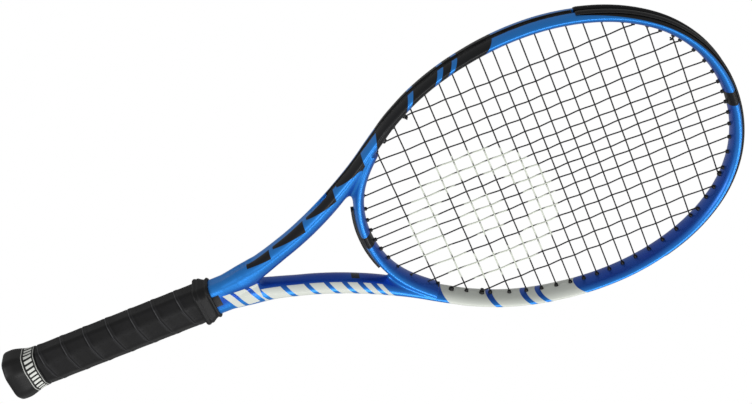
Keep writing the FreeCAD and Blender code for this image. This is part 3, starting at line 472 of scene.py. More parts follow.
class Graph:
    def __init__(self, name):
        self.mat = bpy.data.materials.new(name)
        self.mat.use_nodes = True
        self.t = self.mat.node_tree
        self.bsdf = self.t.nodes["Principled BSDF"]
        self._pos = None

    def node(self, kind, **props):
        n = self.t.nodes.new(kind)
        for k, v in props.items():
            setattr(n, k, v)
        return n

    def link(self, a, b):
        self.t.links.new(a.s if isinstance(a, Sock) else a, b)

    def put(self, v, socket):
        if isinstance(v, Sock):
            self.t.links.new(v.s, socket)
        else:
            socket.default_value = v

    def m(self, op, a, b=0.0, c=None):
        n = self.node("ShaderNodeMath", operation=op)
        self.put(a, n.inputs[0])
        self.put(b, n.inputs[1])
        if c is not None:
            self.put(c, n.inputs[2])
        return Sock(self, n.outputs[0])

    def pos(self):
        """x, y and z in millimetres about the racket's axes."""
        if self._pos is None:
            tc = self.node("ShaderNodeTexCoord")
            sep = self.node("ShaderNodeSeparateXYZ")
            self.t.links.new(tc.outputs["Object"], sep.inputs[0])
            self._pos = (Sock(self, sep.outputs[0]) * 1000.0 - X_OFF, Sock(self, sep.outputs[1]) * 1000.0,
                         Sock(self, sep.outputs[2]) * 1000.0 - Z_OFF)
            self._tc = tc
        return self._pos

    def attr(self, name):
        n = self.node("ShaderNodeAttribute", attribute_type="GEOMETRY", attribute_name=name)
        return Sock(self, n.outputs["Fac"])

    def ramp(self, a, b, v):
        """0 below a, 1 above b, smooth between; either way round."""
        n = self.node("ShaderNodeMapRange", interpolation_type="SMOOTHSTEP", clamp=True)
        self.put(v, n.inputs["Value"])
        lo, hi, f0, f1 = (a, b, 0.0, 1.0) if a < b else (b, a, 1.0, 0.0)
        n.inputs["From Min"].default_value, n.inputs["From Max"].default_value = lo, hi
        n.inputs["To Min"].default_value, n.inputs["To Max"].default_value = f0, f1
        return Sock(self, n.outputs[0])

    def band(self, a, b, v, soft=0.12):
        return self.ramp(a - soft, a + soft, v) * self.ramp(b + soft, b - soft, v)

    def either(self, *vals):
        out = vals[0]
        for v in vals[1:]:
            out = self.m("MAXIMUM", out, v)
        return out

    def noise(self, scale, detail=3.0, rough=0.5, distort=0.0, vec=None, stretch=None):
        n = self.node("ShaderNodeTexNoise")
        n.inputs["Scale"].default_value = scale
        n.inputs["Detail"].default_value = detail
        n.inputs["Roughness"].default_value = rough
        n.inputs["Distortion"].default_value = distort
        self.pos()
        src = vec if vec is not None else self._tc.outputs["Object"]
        if stretch is not None:
            mp = self.node("ShaderNodeMapping")
            mp.inputs["Scale"].default_value = stretch
            self.t.links.new(src, mp.inputs["Vector"])
            src = mp.outputs[0]
        self.t.links.new(src, n.inputs["Vector"])
        return Sock(self, n.outputs["Fac"])

    def voronoi(self, scale, feature="F1"):
        n = self.node("ShaderNodeTexVoronoi", feature=feature)
        n.inputs["Scale"].default_value = scale
        self.pos()
        self.t.links.new(self._tc.outputs["Object"], n.inputs["Vector"])
        return Sock(self, n.outputs["Distance"]), n

    def mix(self, f, a, b):
        n = self.node("ShaderNodeMix", data_type="RGBA")
        self.put(f, n.inputs[0])
        for v, s in ((a, n.inputs[6]), (b, n.inputs[7])):
            if isinstance(v, Sock):
                self.t.links.new(v.s, s)
            else:
                s.default_value = tuple(v) + (1.0,) if len(v) == 3 else v
        return Sock(self, n.outputs[2])

    def bump(self, height, dist_mm, strength=1.0):
        n = self.node("ShaderNodeBump")
        n.inputs["Strength"].default_value = strength
        n.inputs["Distance"].default_value = dist_mm / 1000.0
        self.put(height, n.inputs["Height"])
        return Sock(self, n.outputs[0])

    def out(self, color=None, rough=None, metal=None, normal=None, coat=None, coat_rough=None, ior=None, spec=None, coat_normal=None,
            sheen=None, tint=None):
        b = self.bsdf.inputs
        if color is not None:
            self.put(color if isinstance(color, Sock) else tuple(color) + (1.0,), b["Base Color"])
        if rough is not None:
            self.put(rough, b["Roughness"])
        if metal is not None:
            self.put(metal, b["Metallic"])
        if normal is not None:
            self.put(normal, b["Normal"])
        if coat is not None:
            b["Coat Weight"].default_value = coat
        if coat_rough is not None:
            b["Coat Roughness"].default_value = coat_rough
        if coat_normal is not None:
            self.put(coat_normal, b["Coat Normal"])
        if ior is not None:
            b["IOR"].default_value = ior
        if spec is not None:
            b["Specular IOR Level"].default_value = spec
        if sheen is not None:
            b["Sheen Weight"].default_value = sheen
            b["Sheen Roughness"].default_value = 0.5
        return self.mat


def srgb(h):
    v = [int(h[i:i + 2], 16) / 255.0 for i in (0, 2, 4)]
    return tuple(c / 12.92 if c <= 0.04045 else ((c + 0.055) / 1.055) ** 2.4 for c in v)


def paint_material(name, bridge=False):
    g = Graph(name)
    x, y, z = g.pos()
    ay = g.m("ABSOLUTE", y)
    az = g.m("ABSOLUTE", z)
    # angle about the hoop's middle, in degrees, 0 at the tip
    phi = g.m("ARCTAN2", ay, x - HOOP_X) * 57.29578
    left = g.ramp(-0.4, 0.4, y)
    right = 1.0 - left
    n = g.attr("across")
    # slanted ends of the blocks: their edges lean along the tube from the inner wall to the outer
    lean = phi + n * 0.55
    hoop_blocks = g.either(g.band(130.6, 146.5, lean, .12), g.band(117.6, 128.2, lean, .12), g.band(111.6, 115.2, lean, .12),
                           g.band(95.5, 109.4, lean, .12))
    on_hoop = g.ramp(372.0, 374.0, x)
    black = hoop_blocks * left * on_hoop
    pale = hoop_blocks * right * on_hoop
    # speed blocks along the shaft's top face and the right limb
    run = x + ay * 0.35
    bars = None
    for a, b in ((212, 236), (240.5, 257), (262, 276.5), (281, 293), (297.5, 307.5), (312, 320), (324.5, 330.5), (335, 339.5)):
        q = g.band(a, b, x - n * 0.9 - 4.0, .15)
        bars = q if bars is None else g.either(bars, q)
    strip_zone = g.band(-3.9, 4.4, n, .12) * g.ramp(-0.3, 0.3, z)
    limb = g.ramp(0.45, 0.3, g.attr("bridge"))
    pale = g.either(pale, bars * strip_zone * right * g.ramp(239.6, 240.4, x) * limb)
    shaft_bars = None
    for a, b in ((209.5, 216), (219.5, 229.5), (233.5, 247.5)):
        q = g.band(a, b, x + y * 0.45, .15)
        shaft_bars = q if shaft_bars is None else g.either(shaft_bars, q)
    pale = g.either(pale, shaft_bars * g.band(-13.2, 3.5, y + (x - 212.0) * 0.06, .15) * g.ramp(3.5, 4.5, az) * g.ramp(-0.3, 0.3, z) * g.ramp(240.4, 239.6, x))
    # dark wedges along the left limb's outer edge
    wedge = None
    for a, b, w in ((238, 262, 2.6), (266, 300, 3.6), (304, 336, 4.6), (340, 371, 5.6)):
        edge = 5.3 - (x - a) * (w / (b - a))
        q = g.band(a, b, x, .3) * g.ramp(-0.15, 0.15, n - edge)
        wedge = q if wedge is None else g.either(wedge, q)
    black = g.either(black, wedge * left * g.ramp(1.5, 2.5, z) * limb)
    # patches at the bridge's middle and at the tip
    if bridge:
        black = g.either(black, g.band(-5.8, 5.8, y, .12) * g.ramp(352.0, 350.0, x))
    black = g.either(black, g.band(-6.7, 6.7, y, .12) * g.ramp(660.0, 662.0, x))
    # the bumper's flange runs widest over the shoulders
    flange = g.ramp(-0.12, 0.12, n - (4.7 - 2.5 * g.m("SINE", (phi - 4.0) * (math.pi / 58.0)))) * g.band(4.5, 61.5, phi, .2) * g.ramp(560.0, 570.0, x)
    black = g.either(black, flange)
    small = g.band(317.0, 323.5, x, .15) * right * g.band(-20.0, -2.5, n, .2) * g.band(-4.5, 4.5, z, .2)
    flake, fn = g.voronoi(5200.0)
    fleck = Sock(g, g.node("ShaderNodeSeparateColor").outputs[0])
    g.t.links.new(fn.outputs["Color"], fleck.s.node.inputs[0])
    cloud = g.noise(28.0, 2.0)
    # painted shade: the tube's inner wall, facing the strings, is coloured a darker blue (153ba0) than the rest of the
    # tube (247bd0)
    inner = g.ramp(1.0, -5.2, n)
    blue = g.mix(inner, srgb("247bd0"), srgb("153ba0"))
    blue = g.mix(g.ramp(0.25, 0.8, cloud) * 0.18, blue, srgb("3390de"))
    blue = g.mix(g.ramp(0.55, 1.0, fleck) * 0.06, blue, srgb("8cc4f4"))
    col = g.mix(black, blue, srgb("0b0c0f"))
    col = g.mix(pale, col, srgb("ccd0c8"))
    col = g.mix(small, col, srgb("2b2f36"))
    metal = (1.0 - g.either(black, pale)) * 0.62
    tone = g.either(black, pale)
    rough = 0.37 - inner * 0.02 + tone * 0.10 + (fleck - 0.5) * 0.03
    fine = g.noise(900.0, 2.0)
    edge_step = g.either(black, pale)
    h = fine * 0.001 + edge_step * 0.06
    return g.out(color=col, rough=rough, metal=metal, normal=g.bump(h, 1.0, 0.35), coat=0.14, coat_rough=0.12, ior=1.5, spec=0.2)


def plastic_material(name, base, light, rough=0.42, grain=1400.0, depth=0.05, coat=0.0, spec=0.5):
    """Moulded nylon or hard plastic: fine spark-eroded grain, slow mottling and small scuffs."""
    g = Graph(name)
    g.pos()
    fine = g.noise(grain, 4.0, 0.65)
    slow = g.noise(60.0, 2.0)
    scuff = g.noise(240.0, 6.0, 0.7, 0.4, stretch=(0.35, 1.0, 1.0))
    worn = g.ramp(0.62, 0.78, scuff)
    col = g.mix(g.ramp(0.3, 0.75, slow) * 0.5, base, light)
    col = g.mix(worn * 0.18, col, tuple(min(1.0, c * 2.2 + 0.01) for c in light))
    r = rough + (fine - 0.5) * 0.16 + worn * 0.08
    return g.out(color=col, rough=r, normal=g.bump(fine * 0.6 + scuff * 0.4, depth, 0.8), coat=coat, coat_rough=0.2, ior=1.5, spec=spec)


def string_material(name, along_x):
    """Twisted-jacket string: a fine helical lay, black, with the generic ring stencilled in pale ink over both layers."""
    g = Graph(name)
    x, y, z = g.pos()
    u = (x if along_x else y)
    v = (y if along_x else x)
    dx, dy = x - 446.0, y + 22.0
    r2 = g.m("SQRT", dx * dx + dy * dy)
    wob = (g.noise(160.0, 2.0) - 0.5) * 2.4
    ring = g.either(g.band(40.0, 66.0, r2 + wob, .5), g.ramp(21.2, 20.2, r2 + wob))
    split = g.ramp(2.2, 3.2, g.m("ABSOLUTE", dy + dx * 0.0))
    ink = ring * g.ramp(-0.1, 0.25, z)
    patch = g.noise(700.0, 4.0, 0.7)
    ink = ink * (0.72 + 0.28 * g.ramp(0.34, 0.55, patch))
    lay = g.m("SINE", u * 9.0 + g.m("ARCTAN2", z, v * 0.0 + 0.31) * 3.0)
    lay = lay * 0.5 + 0.5
    # painted highlight: the black jacket is lighter (18181a) along the ridges of the lay, following the same wave that
    # drives the bump
    col = g.mix(lay * 0.35, srgb("080809"), srgb("18181a"))
    col = g.mix(ink, col, srgb("cfd5c6"))
    rough = 0.34 + ink * 0.28 + lay * 0.08
    return g.out(color=col, rough=rough, normal=g.bump(lay * 0.5 + patch * 0.3, 0.03, 0.7), ior=1.53, spec=0.3)


def grip_material(name, pitch, start, turn_sign):
    """Perforated synthetic grip: soft pebble, rows of pin holes with painted shade in them, and painted highlights
    along each overlap's edge and on the ridge just past it.
    """
    g = Graph(name)
    x, y, z = g.pos()
    theta = g.m("ARCTAN2", z, y) * (1.0 / (2 * math.pi))
    u = (x - start) / pitch - theta * turn_sign
    f = g.m("FRACT", u + 64.0) * pitch                 # millimetres past the seam
    # painted highlights: a pale line along each overlap's edge and a fainter one on the ridge just past it, where the
    # wrap catches the light
    seam_edge_highlight = g.band(0.0, 0.75, f, .18)
    ridge_highlight = g.band(2.6, 3.1, f, .2)
    peb = g.noise(1900.0, 3.0, 0.6)
    fine = g.noise(5200.0, 2.0, 0.5)
    slow = g.noise(48.0, 3.0, 0.6)
    rub = g.ramp(0.45, 0.72, slow)
    # holes: a lattice that runs with the strip
    around = theta * 118.0
    hx = g.m("FRACT", f / 4.3 + 0.5) - 0.5
    row = g.m("FLOOR", f / 4.3 + 0.5)
    hy = g.m("FRACT", (around + row * 2.1) / 4.2) - 0.5
    d = g.m("SQRT", hx * hx * 18.5 + hy * hy * 17.6)
    hole = g.ramp(0.42, 0.30, d) * g.band(4.0, pitch - 2.0, f, .3)
    col = g.mix(rub * 0.55, srgb("0a0a0b"), srgb("141416"))
    col = g.mix(seam_edge_highlight * 0.6, col, srgb("444448"))
    col = g.mix(ridge_highlight * 0.28, col, srgb("3a3a3e"))
    # painted shade: the pin holes are darkened where they sink into the grip
    col = g.mix(hole * 0.85, col, srgb("050506"))
    rough = 0.55 + (peb - 0.5) * 0.2 - rub * 0.08 + hole * 0.2 - seam_edge_highlight * 0.12
    h = peb * 0.5 + fine * 0.2 - hole * 1.3
    return g.out(color=col, rough=rough, normal=g.bump(h, 0.10, 0.8), ior=1.46, sheen=0.02, spec=0.28)


def rubber_material(name):
    g = Graph(name)
    x, y, z = g.pos()
    fine = g.noise(1500.0, 4.0, 0.6)
    slow = g.noise(90.0, 3.0, 0.6)
    bloom = g.ramp(0.5, 0.8, slow)
    ribs = g.m("SINE", x * 5.2) * 0.5 + 0.5
    col = g.mix(bloom * 0.5, srgb("0a0a0b"), srgb("161618"))
    return g.out(color=col, rough=0.5 + (fine - 0.5) * 0.2 + bloom * 0.1, normal=g.bump(fine * 0.5 + ribs * 0.25, 0.08, 0.8), ior=1.48, spec=0.3)


def cap_material(name):
    """Satin butt cap with a printed band of slanted dashes round its neck."""
    g = Graph(name)
    x, y, z = g.pos()
    fine = g.noise(1700.0, 4.0, 0.6)
    slow = g.noise(70.0, 3.0, 0.6)
    theta = g.m("ARCTAN2", z, y) * (1.0 / (2 * math.pi))
    k = g.m("FRACT", theta * 26.0 + (x - 24.0) * 0.055 + 32.0)
    dash = g.band(0.30, 0.86, k, .025) * g.band(20.6, 27.6, x, .15)
    line = g.either(g.band(18.3, 18.9, x, .1), g.band(29.0, 29.5, x, .1))
    chip = g.ramp(0.33, 0.42, g.noise(420.0, 5.0, 0.7))
    ink = g.either(dash, line * 0.8) * (0.55 + chip * 0.45) * g.ramp(12.0, 13.0, g.m("SQRT", y * y + z * z))
    wear = g.ramp(0.60, 0.76, g.noise(300.0, 6.0, 0.7))
    col = g.mix(g.ramp(0.35, 0.75, slow) * 0.5, srgb("0b0b0b"), srgb("161617"))
    col = g.mix(wear * 0.2, col, srgb("3a3a3c"))
    col = g.mix(ink, col, srgb("d6d8d2"))
    return g.out(color=col, rough=0.46 + (fine - 0.5) * 0.2 + ink * 0.1, normal=g.bump(fine * 0.6 + ink * 0.5, 0.05, 0.8), ior=1.5, spec=0.3)


def tape_material(name):
    """Woven finishing tape: crossed threads."""
    g = Graph(name)
    x, y, z = g.pos()
    a = g.m("SINE", x * 10.5) * 0.5 + 0.5
    b = g.m("SINE", y * 8.4) * 0.5 + 0.5
    chk = g.m("GREATER_THAN", g.m("SINE", x * 5.25) * g.m("SINE", y * 4.2), 0.0)
    weave = g.mix(chk, (0, 0, 0), (1, 1, 1))
    over = chk * a + (1.0 - chk) * b
    fuzz = g.noise(2600.0, 3.0, 0.6)
    # painted light and shade: the tape is lighter on the crown of each thread and darker between threads, following
    # the weave's bump
    col = g.mix(over * 0.6 + fuzz * 0.2, srgb("0b0b0c"), srgb("26262a"))
    return g.out(color=col, rough=0.6 + fuzz * 0.2, normal=g.bump(over * 0.7 + fuzz * 0.3, 0.08, 0.9), ior=1.46, sheen=0.2)


def foam_material(name):
    g = Graph(name)
    g.pos()
    d, n = g.voronoi(900.0)
    slow = g.noise(60.0, 3.0)
    # painted shade: the foam is darker in the pits of its cells, where the bump is lowest
    col = g.mix(g.ramp(0.0, 0.6, d), srgb("6f675a"), srgb("a39a88"))
    col = g.mix(slow * 0.3, col, srgb("8a8272"))
    return g.out(color=col, rough=0.85, normal=g.bump(d, 0.25, 0.9))


def metal_material(name, base, light, rough):
    g = Graph(name)
    g.pos()
    brush = g.noise(900.0, 4.0, 0.6, stretch=(0.08, 1.0, 1.0))
    slow = g.noise(120.0, 3.0)
    col = g.mix(slow * 0.5, base, light)
    return g.out(color=col, rough=rough + (brush - 0.5) * 0.2, metal=0.9 + slow * 0.1, normal=g.bump(brush, 0.03, 0.7))


# ------------------------------------------------------------------ frame
H = 0.95
pts, nor, quads = frame_mesh(H)
g_all, f_tube, f_bridge, s_all, n_all = field(pts, parts=True)
is_bridge = (f_bridge < f_tube) & (pts[:, 0] < 388.0) & (pts[:, 0] > 330.0)
across = np.where(is_bridge, 0.0, n_all)
kb, _rb, nb_all = locate(pts[:, 0], np.abs(pts[:, 1]), MAP_B, BP, BN, BT)
across = np.where(is_bridge, nb_all, n_all)
blend_w = step(-6.0, 6.0, f_tube - f_bridge) * ((pts[:, 0] < 392.0) & (pts[:, 0] > 325.0))
a_here = np.interp(s_all, HS, HV[:, 0])
across = n_all / a_here * 5.75 * (1 - blend_w) + nb_all / 4.9 * 5.75 * blend_w
face_b = is_bridge[quads].sum(1) >= 2


def piece_of(mask, name):
    q = quads[mask]
    used = np.unique(q)
    back = np.full(len(pts), -1, np.int64)
    back[used] = np.arange(len(used))
    return make_mesh(name, pts[used], back[q], nor[used], {"across": across[used], "along": s_all[used], "bridge": blend_w[used]})


frame_ob = piece_of(~face_b, "painted_frame")
bridge_ob = piece_of(face_b, "painted_bridge")
PAINT = paint_material("frame_lacquer")
PAINT_B = paint_material("bridge_lacquer", bridge=True)
frame_ob.data.materials.append(PAINT)
bridge_ob.data.materials.append(PAINT_B)

# ------------------------------------------------------------------ strings, grommets and strips
LAYER, STAND, STRING_R = 0.67, 2.2, 0.625
LOOP_N = 0.08 + 1.0 + STRING_R + 0.03
MAINS = [5.22, 15.70, 26.68, 39.01, 52.11, 65.46, 80.59, 95.77]
MAIN_LOW = [350.3, 351.5, 353.8, 358.4, 366.0, 376.4, 393.0, 415.4]
CROSSES = [383.66, 405.83, 424.63, 440.27, 454.85, 468.09, 481.36, 494.10, 506.40, 518.79, 530.54, 543.38,
           556.01, 569.48, 583.54, 598.05, 613.79, 631.62, 648.93]
SHOULDER = {3: (-0.80, 0.60), 4: (-0.75, 0.66), 5: (-0.66, 0.75)}


def hoop_offset(p):
    """Arc position, offset less the inner wall, and offset less the loop's line, for one point (y >= 0 half)."""
    x, y = np.array([p[0]]), np.array([abs(p[1])])
    k, run, n = locate(x, y, MAP_H, HP, HN, HT)
    s = HS[k] + run
    a, c = np.interp(s, HS, HV[:, 0]), np.interp(s, HS, HV[:, 3])
    return float(s[0]), float(n[0] + a[0] + STAND), float(n[0] - (a[0] - 2.7 * c[0] + LOOP_N)), k[0]


def solve(fn, lo, hi, cnt=40):
    for _ in range(cnt):
        mid = (lo + hi) / 2
        if fn(mid) < 0:
            lo = mid
        else:
            hi = mid
    return (lo + hi) / 2


class End:
    """Where a string leaves the bed: the grommet's tip, its direction, and how far in its outer bend is."""

    def __init__(self, p, d, where, depth):
        self.p, self.d, self.where, self.depth = np.array(p, float), np.array(d, float), where, depth


def hoop_end(at, lo, hi, z, sg, where, direction=None, entry=None):
    if entry is None:
        q = solve(lambda t: hoop_offset(at(t))[1], lo, hi)
        e = at(q)
        k = hoop_offset(e)[3]
        d = np.array([HN[k, 0], HN[k, 1] * (1 if e[1] >= 0 else -1), 0.0])
        direction = d if np.dot(d[:2], np.array(at(hi)) - np.array(at(lo))) > 0 else -d
        entry = e
    e3 = np.array([entry[0], entry[1], z])
    depth = solve(lambda t: hoop_offset((e3 + direction * t)[:2])[2], 0.0, 45.0)
    return End(e3, direction, where, depth)


def bridge_at(y):
    k = int(np.argmin(np.abs(P_B[:, 1] - y)))
    return P_B[k], N_B[k]


ENDS = {}
for i, y in enumerate(MAINS):
    for sg in (1, -1):
        ENDS[("m", i, sg, "tip")] = hoop_end(lambda t: (515 + t, sg * y), 20.0, 158.0, LAYER, sg, "bumper")
        if i <= 2:
            yy = sg * y
            for _ in range(6):
                p, n = bridge_at(yy)
                e = p - n * (4.7 + STAND)
                yy += sg * y - e[1]
            ENDS[("m", i, sg, "low")] = End((e[0], sg * y, LAYER), (n[0], n[1], 0), "bridge", STAND + 2 * 4.7 + LOOP_N)
        elif i in SHOULDER:
            d = np.array([SHOULDER[i][0], sg * SHOULDER[i][1], 0.0])
            ENDS[("m", i, sg, "low")] = hoop_end(None, 0, 0, LAYER, sg, "left" if sg > 0 else "right", d / np.linalg.norm(d), (MAIN_LOW[i], sg * y))
        else:
            ENDS[("m", i, sg, "low")] = hoop_end(lambda t: (515 - t, sg * y), 20.0, 128.0, LAYER, sg, "left" if sg > 0 else "right")
for i, x in enumerate(CROSSES):
    for sg in (1, -1):
        e = hoop_end(lambda t: (x, sg * t), 20.0, 134.0, -LAYER, sg, "")
        ang = math.degrees(math.atan2(abs(e.p[1]), e.p[0] - HOOP_X))
        e.where = "bumper" if ang < 62 else ("left" if sg > 0 else "right")
        ENDS[("c", i, sg)] = e

LOW_PAIRS = {(0, 1): (0, -1), (0, -1): (0, 1)}
for u, w in ((1, 2), (3, 4), (5, 6)):
    for sg in (1, -1):
        LOW_PAIRS[(u, sg)], LOW_PAIRS[(w, sg)] = (w, sg), (u, sg)
TIP_PAIRS = {}
for u, w in ((0, 1), (2, 3), (4, 5), (6, 7)):
    for sg in (1, -1):
        TIP_PAIRS[(u, sg)], TIP_PAIRS[(w, sg)] = (w, sg), (u, sg)


def loop_points(key_a, key_b):
    """Half of the loop outside the tube from one string's hole towards the next."""
    ea, eb = ENDS[key_a], ENDS[key_b]
    xa, xb = ea.p + ea.d * ea.depth, eb.p + eb.d * eb.depth
    out = []
    if ea.where == "bridge":
        for f in np.linspace(0.08, 0.52, 6):
            y = xa[1] + (xb[1] - xa[1]) * f
            p, n = bridge_at(y)
            out.append((p[0] + n[0] * (4.7 + LOOP_N), y, xa[2] * (1 - f)))
        return out
    sa, sb = hoop_offset(xa[:2])[0], hoop_offset(xb[:2])[0]
    sg = 1 if xa[1] >= 0 else -1
    for f in np.linspace(0.08, 0.52, 6):
        s = sa + (sb - sa) * f
        px, py = np.interp(s, HS, HP[:, 0]), np.interp(s, HS, HP[:, 1])
        nx, ny = np.interp(s, HS, HN[:, 0]), np.interp(s, HS, HN[:, 1])
        r = np.interp(s, HS, HV[:, 0]) - 2.7 * np.interp(s, HS, HV[:, 3]) + LOOP_N
        out.append((px + nx * r, sg * (py + ny * r), xa[2] * (1 - f)))
    return out


def bend(points, r=1.1, cnt=4):
    """Polyline with its sharp corners rounded."""
    pts_ = [np.asarray(p, float) for p in points]
    out = [pts_[0]]
    for i in range(1, len(pts_) - 1):
        a, b, c = pts_[i - 1], pts_[i], pts_[i + 1]
        u, v = a - b, c - b
        lu, lv = np.linalg.norm(u), np.linalg.norm(v)
        if lu < 1e-6 or lv < 1e-6:
            continue
        if np.dot(u, v) / (lu * lv) > -0.985:
            q = min(r, lu * 0.45, lv * 0.45)
            s, e = b + u / lu * q, b + v / lv * q
            for t in np.linspace(0, 1, cnt + 1):
                out.append((1 - t) ** 2 * s + 2 * t * (1 - t) * b + t * t * e)
        else:
            out.append(b)
    out.append(pts_[-1])
    return out


AMP = 0.60


def woven(p0, p1, along, stations, phase):
    """Points of a string from p0 to p1, going over and under at each station along its run."""
    lo, hi = p0[along], p1[along]
    st = [q for q in stations if min(lo, hi) < q < max(lo, hi)]
    ks = [(q, AMP * phase * (-1) ** stations.index(q)) for q in st]
    knots = sorted([(min(lo, hi), p0[2] if lo < hi else p1[2])] + ks + [(max(lo, hi), p1[2] if lo < hi else p0[2])])
    u, h = [], []
    for (a, za), (b, zb) in zip(knots[:-1], knots[1:]):
        m = max(2, int(round((b - a) / 2.2)))
        t = np.arange(m) / m
        u += list(a + (b - a) * t)
        h += list(za + (zb - za) * (1 - np.cos(np.pi * t)) / 2)
    u.append(knots[-1][0])
    h.append(knots[-1][1])
    out = np.zeros((len(u), 3))
    out[:, along] = u
    out[:, 1 - along] = p0[1 - along]
    out[:, 2] = h
    return out if lo < hi else out[::-1]


STATION_Y = sorted([-y for y in MAINS] + MAINS)
main_parts, cross_parts, knots = [], [], []
for i in range(8):
    for sg in (1, -1):
        lo, tip = ENDS[("m", i, sg, "low")], ENDS[("m", i, sg, "tip")]
        row = STATION_Y.index(sg * MAINS[i])
        body = woven(lo.p, tip.p, 0, CROSSES, (-1) ** row)
        head = [lo.p + lo.d * lo.depth]
        if (i, sg) in LOW_PAIRS:
            head = loop_points(("m", i, sg, "low"), ("m",) + LOW_PAIRS[(i, sg)] + ("low",))[::-1] + head
        else:
            knots.append((lo, 1.25))
        tail = [tip.p + tip.d * tip.depth] + loop_points(("m", i, sg, "tip"), ("m",) + TIP_PAIRS[(i, sg)] + ("tip",))
        path = bend(head + [lo.p] + list(body[1:-1]) + [tip.p] + tail)
        main_parts.append(tube_along(path, STRING_R))
for i in range(19):
    a, b = ENDS[("c", i, 1)], ENDS[("c", i, -1)]
    body = woven(a.p, b.p, 1, STATION_Y, -(-1) ** i)
    lp = i + 1 if i % 2 == 0 else i - 1
    rp = i - 1 if i % 2 == 0 else i + 1
    head, tail = [a.p + a.d * a.depth], [b.p + b.d * b.depth]
    if 0 <= lp < 19:
        head = loop_points(("c", i, 1), ("c", lp, 1))[::-1] + head
    else:
        knots.append((a, 1.25))
    if 0 <= rp < 19:
        tail = tail + loop_points(("c", i, -1), ("c", rp, -1))
    else:
        knots.append((b, 1.25))
    path = bend(head + [a.p] + list(body[1:-1]) + [b.p] + tail)
    cross_parts.append(tube_along(path, STRING_R))
mains_ob = make_mesh("strings_main", *merge(main_parts))
crosses_ob = make_mesh("strings_cross", *merge(cross_parts))
mains_ob.data.materials.append(string_material("string_main_jacket", True))
crosses_ob.data.materials.append(string_material("string_cross_jacket", False))

GROMMET = [(1.0, 0.30), (0.95, 0.66), (0.12, 0.74), (0.0, 0.92), (0.02, 1.22), (0.16, 1.50), (0.42, 1.66), (1.0, 1.72), (1.80, 1.74),
           (2.05, 1.86), (2.30, 2.05), (3.0, 2.05), (3.6, 1.72), (4.2, 1.2)]
TIE = [(1.0, 0.30), (0.95, 0.80), (0.0, 0.95), (-0.25, 1.25), (-0.28, 1.70), (-0.05, 2.05), (0.4, 2.24), (0.9, 2.28), (1.30, 2.26),
       (2.05, 2.32), (2.30, 2.45), (3.0, 2.45), (3.6, 2.1), (4.2, 1.4)]
tie_keys = {("m", 6, -1, "low"), ("m", 6, 1, "low"), ("m", 7, -1, "low"), ("m", 7, 1, "low"), ("c", 18, -1), ("c", 0, 1)}


def grommet(end, big=False):
    prof = TIE if big else GROMMET
    v, _f = revolve(end.p, end.d, prof, 16)
    return capped(v, len(prof), 16, flip=True)


def knot(end, r):
    """A small half hitch drawn up against the grommet, with its clipped tail."""
    d = end.d
    side = np.cross(d, [0, 0, 1.0])
    c = end.p - d * 0.7
    loop = []
    for t in np.linspace(0, 2 * math.pi * 1.35, 26):
        loop.append(c + side * math.cos(t) * 1.15 + np.array([0, 0, 1.0]) * math.sin(t) * 1.15 - d * (0.25 + t * 0.16))
    loop.append(loop[-1] - d * 0.9 + side * 0.5)
    return tube_along(np.array(loop), STRING_R * 0.96, 8)


def strip_sweep(name, s0, s1, side, section_of):
    """Band in the channel of one side, from arc position s0 to s1 of the half."""
    cnt = int(abs(s1 - s0) / 1.5) + 2
    s = np.linspace(s0, s1, cnt)
    c = np.stack([np.interp(s, HS, HP[:, 0]), np.interp(s, HS, HP[:, 1])], 1)
    n = np.stack([np.interp(s, HS, HN[:, 0]), np.interp(s, HS, HN[:, 1])], 1)
    n /= np.linalg.norm(n, axis=1)[:, None]
    sec = np.stack([section_of(*[float(np.interp(q, HS, HV[:, i])) for i in (0, 1, 3)], (q - s[0]) / (s[-1] - s[0])) for q in s])
    c[:, 1] *= side
    n[:, 1] *= side
    v, f = sweep(c, n, sec)
    return v, (f if side > 0 else f[:, ::-1])


def strip_section(a, b, c, t):
    f = a - 2.7 * c + 0.02
    return round_corners([(f, -3.15), (a + 0.10, -3.45), (a + 0.14, -2.55), (f + 1.12, -2.2), (f + 1.05, 2.2), (a + 0.14, 2.55), (a + 0.10, 3.45), (f, 3.15)],
                         (0.1, 0.3, 0.3, 0.4, 0.4, 0.3, 0.3, 0.1), 3)


def bumper_section(a, b, c, t):
    f = a - 2.7 * c + 0.02
    k = b / 12.9
    thin = min(1.0, 0.35 + 8.0 * min(t, 1.0))
    g0 = 0.02
    T = 1.4 * thin
    up = [(f, 3.2), (a + g0, 3.3), (a + 0.06, 5.2 * k), (0.875 * a, 8.1 * k), (0.875 * a + 0.95 * thin, 8.4 * k), (a + g0 + T - .05, 6.2 * k),
          (a + g0 + T + .1, 4.6 * k), (a + g0 + T, 3.3), (a - 0.2, 2.5), (f + 1.05, 2.25)]
    poly = up + [(n, -z) for n, z in reversed(up)]
    rs = [0.1, 0.1, 0.3, 0.2, 0.35, 1.0, 0.8, 0.45, 0.3, 0.4]
    return round_corners(poly, rs + rs[::-1], 3)


def s_polar(phi):
    c, s_ = math.cos(math.radians(phi)), math.sin(math.radians(phi))
    return hoop_offset((HOOP_X + 138 * c, 138 * s_))[0]


S332 = float(np.interp(332.0, HP[:200 + 140, 0], HS[:200 + 140]))
NYLON = plastic_material("grommet_nylon_black", srgb("08080a"), srgb("121213"), 0.38, spec=0.3)
for side, node, word in ((1, "grommet_strip_left", "left"), (-1, "grommet_strip_right", "right")):
    parts = [strip_sweep(node, S332, s_polar(63.3), side, strip_section)]
    for key, e in ENDS.items():
        if e.where == word:
            parts.append(grommet(e, key in tie_keys))
    ob = make_mesh("strip_" + word, *merge(parts))
    ob.data.materials.append(NYLON)
    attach(ob, "racket")
    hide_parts(node)

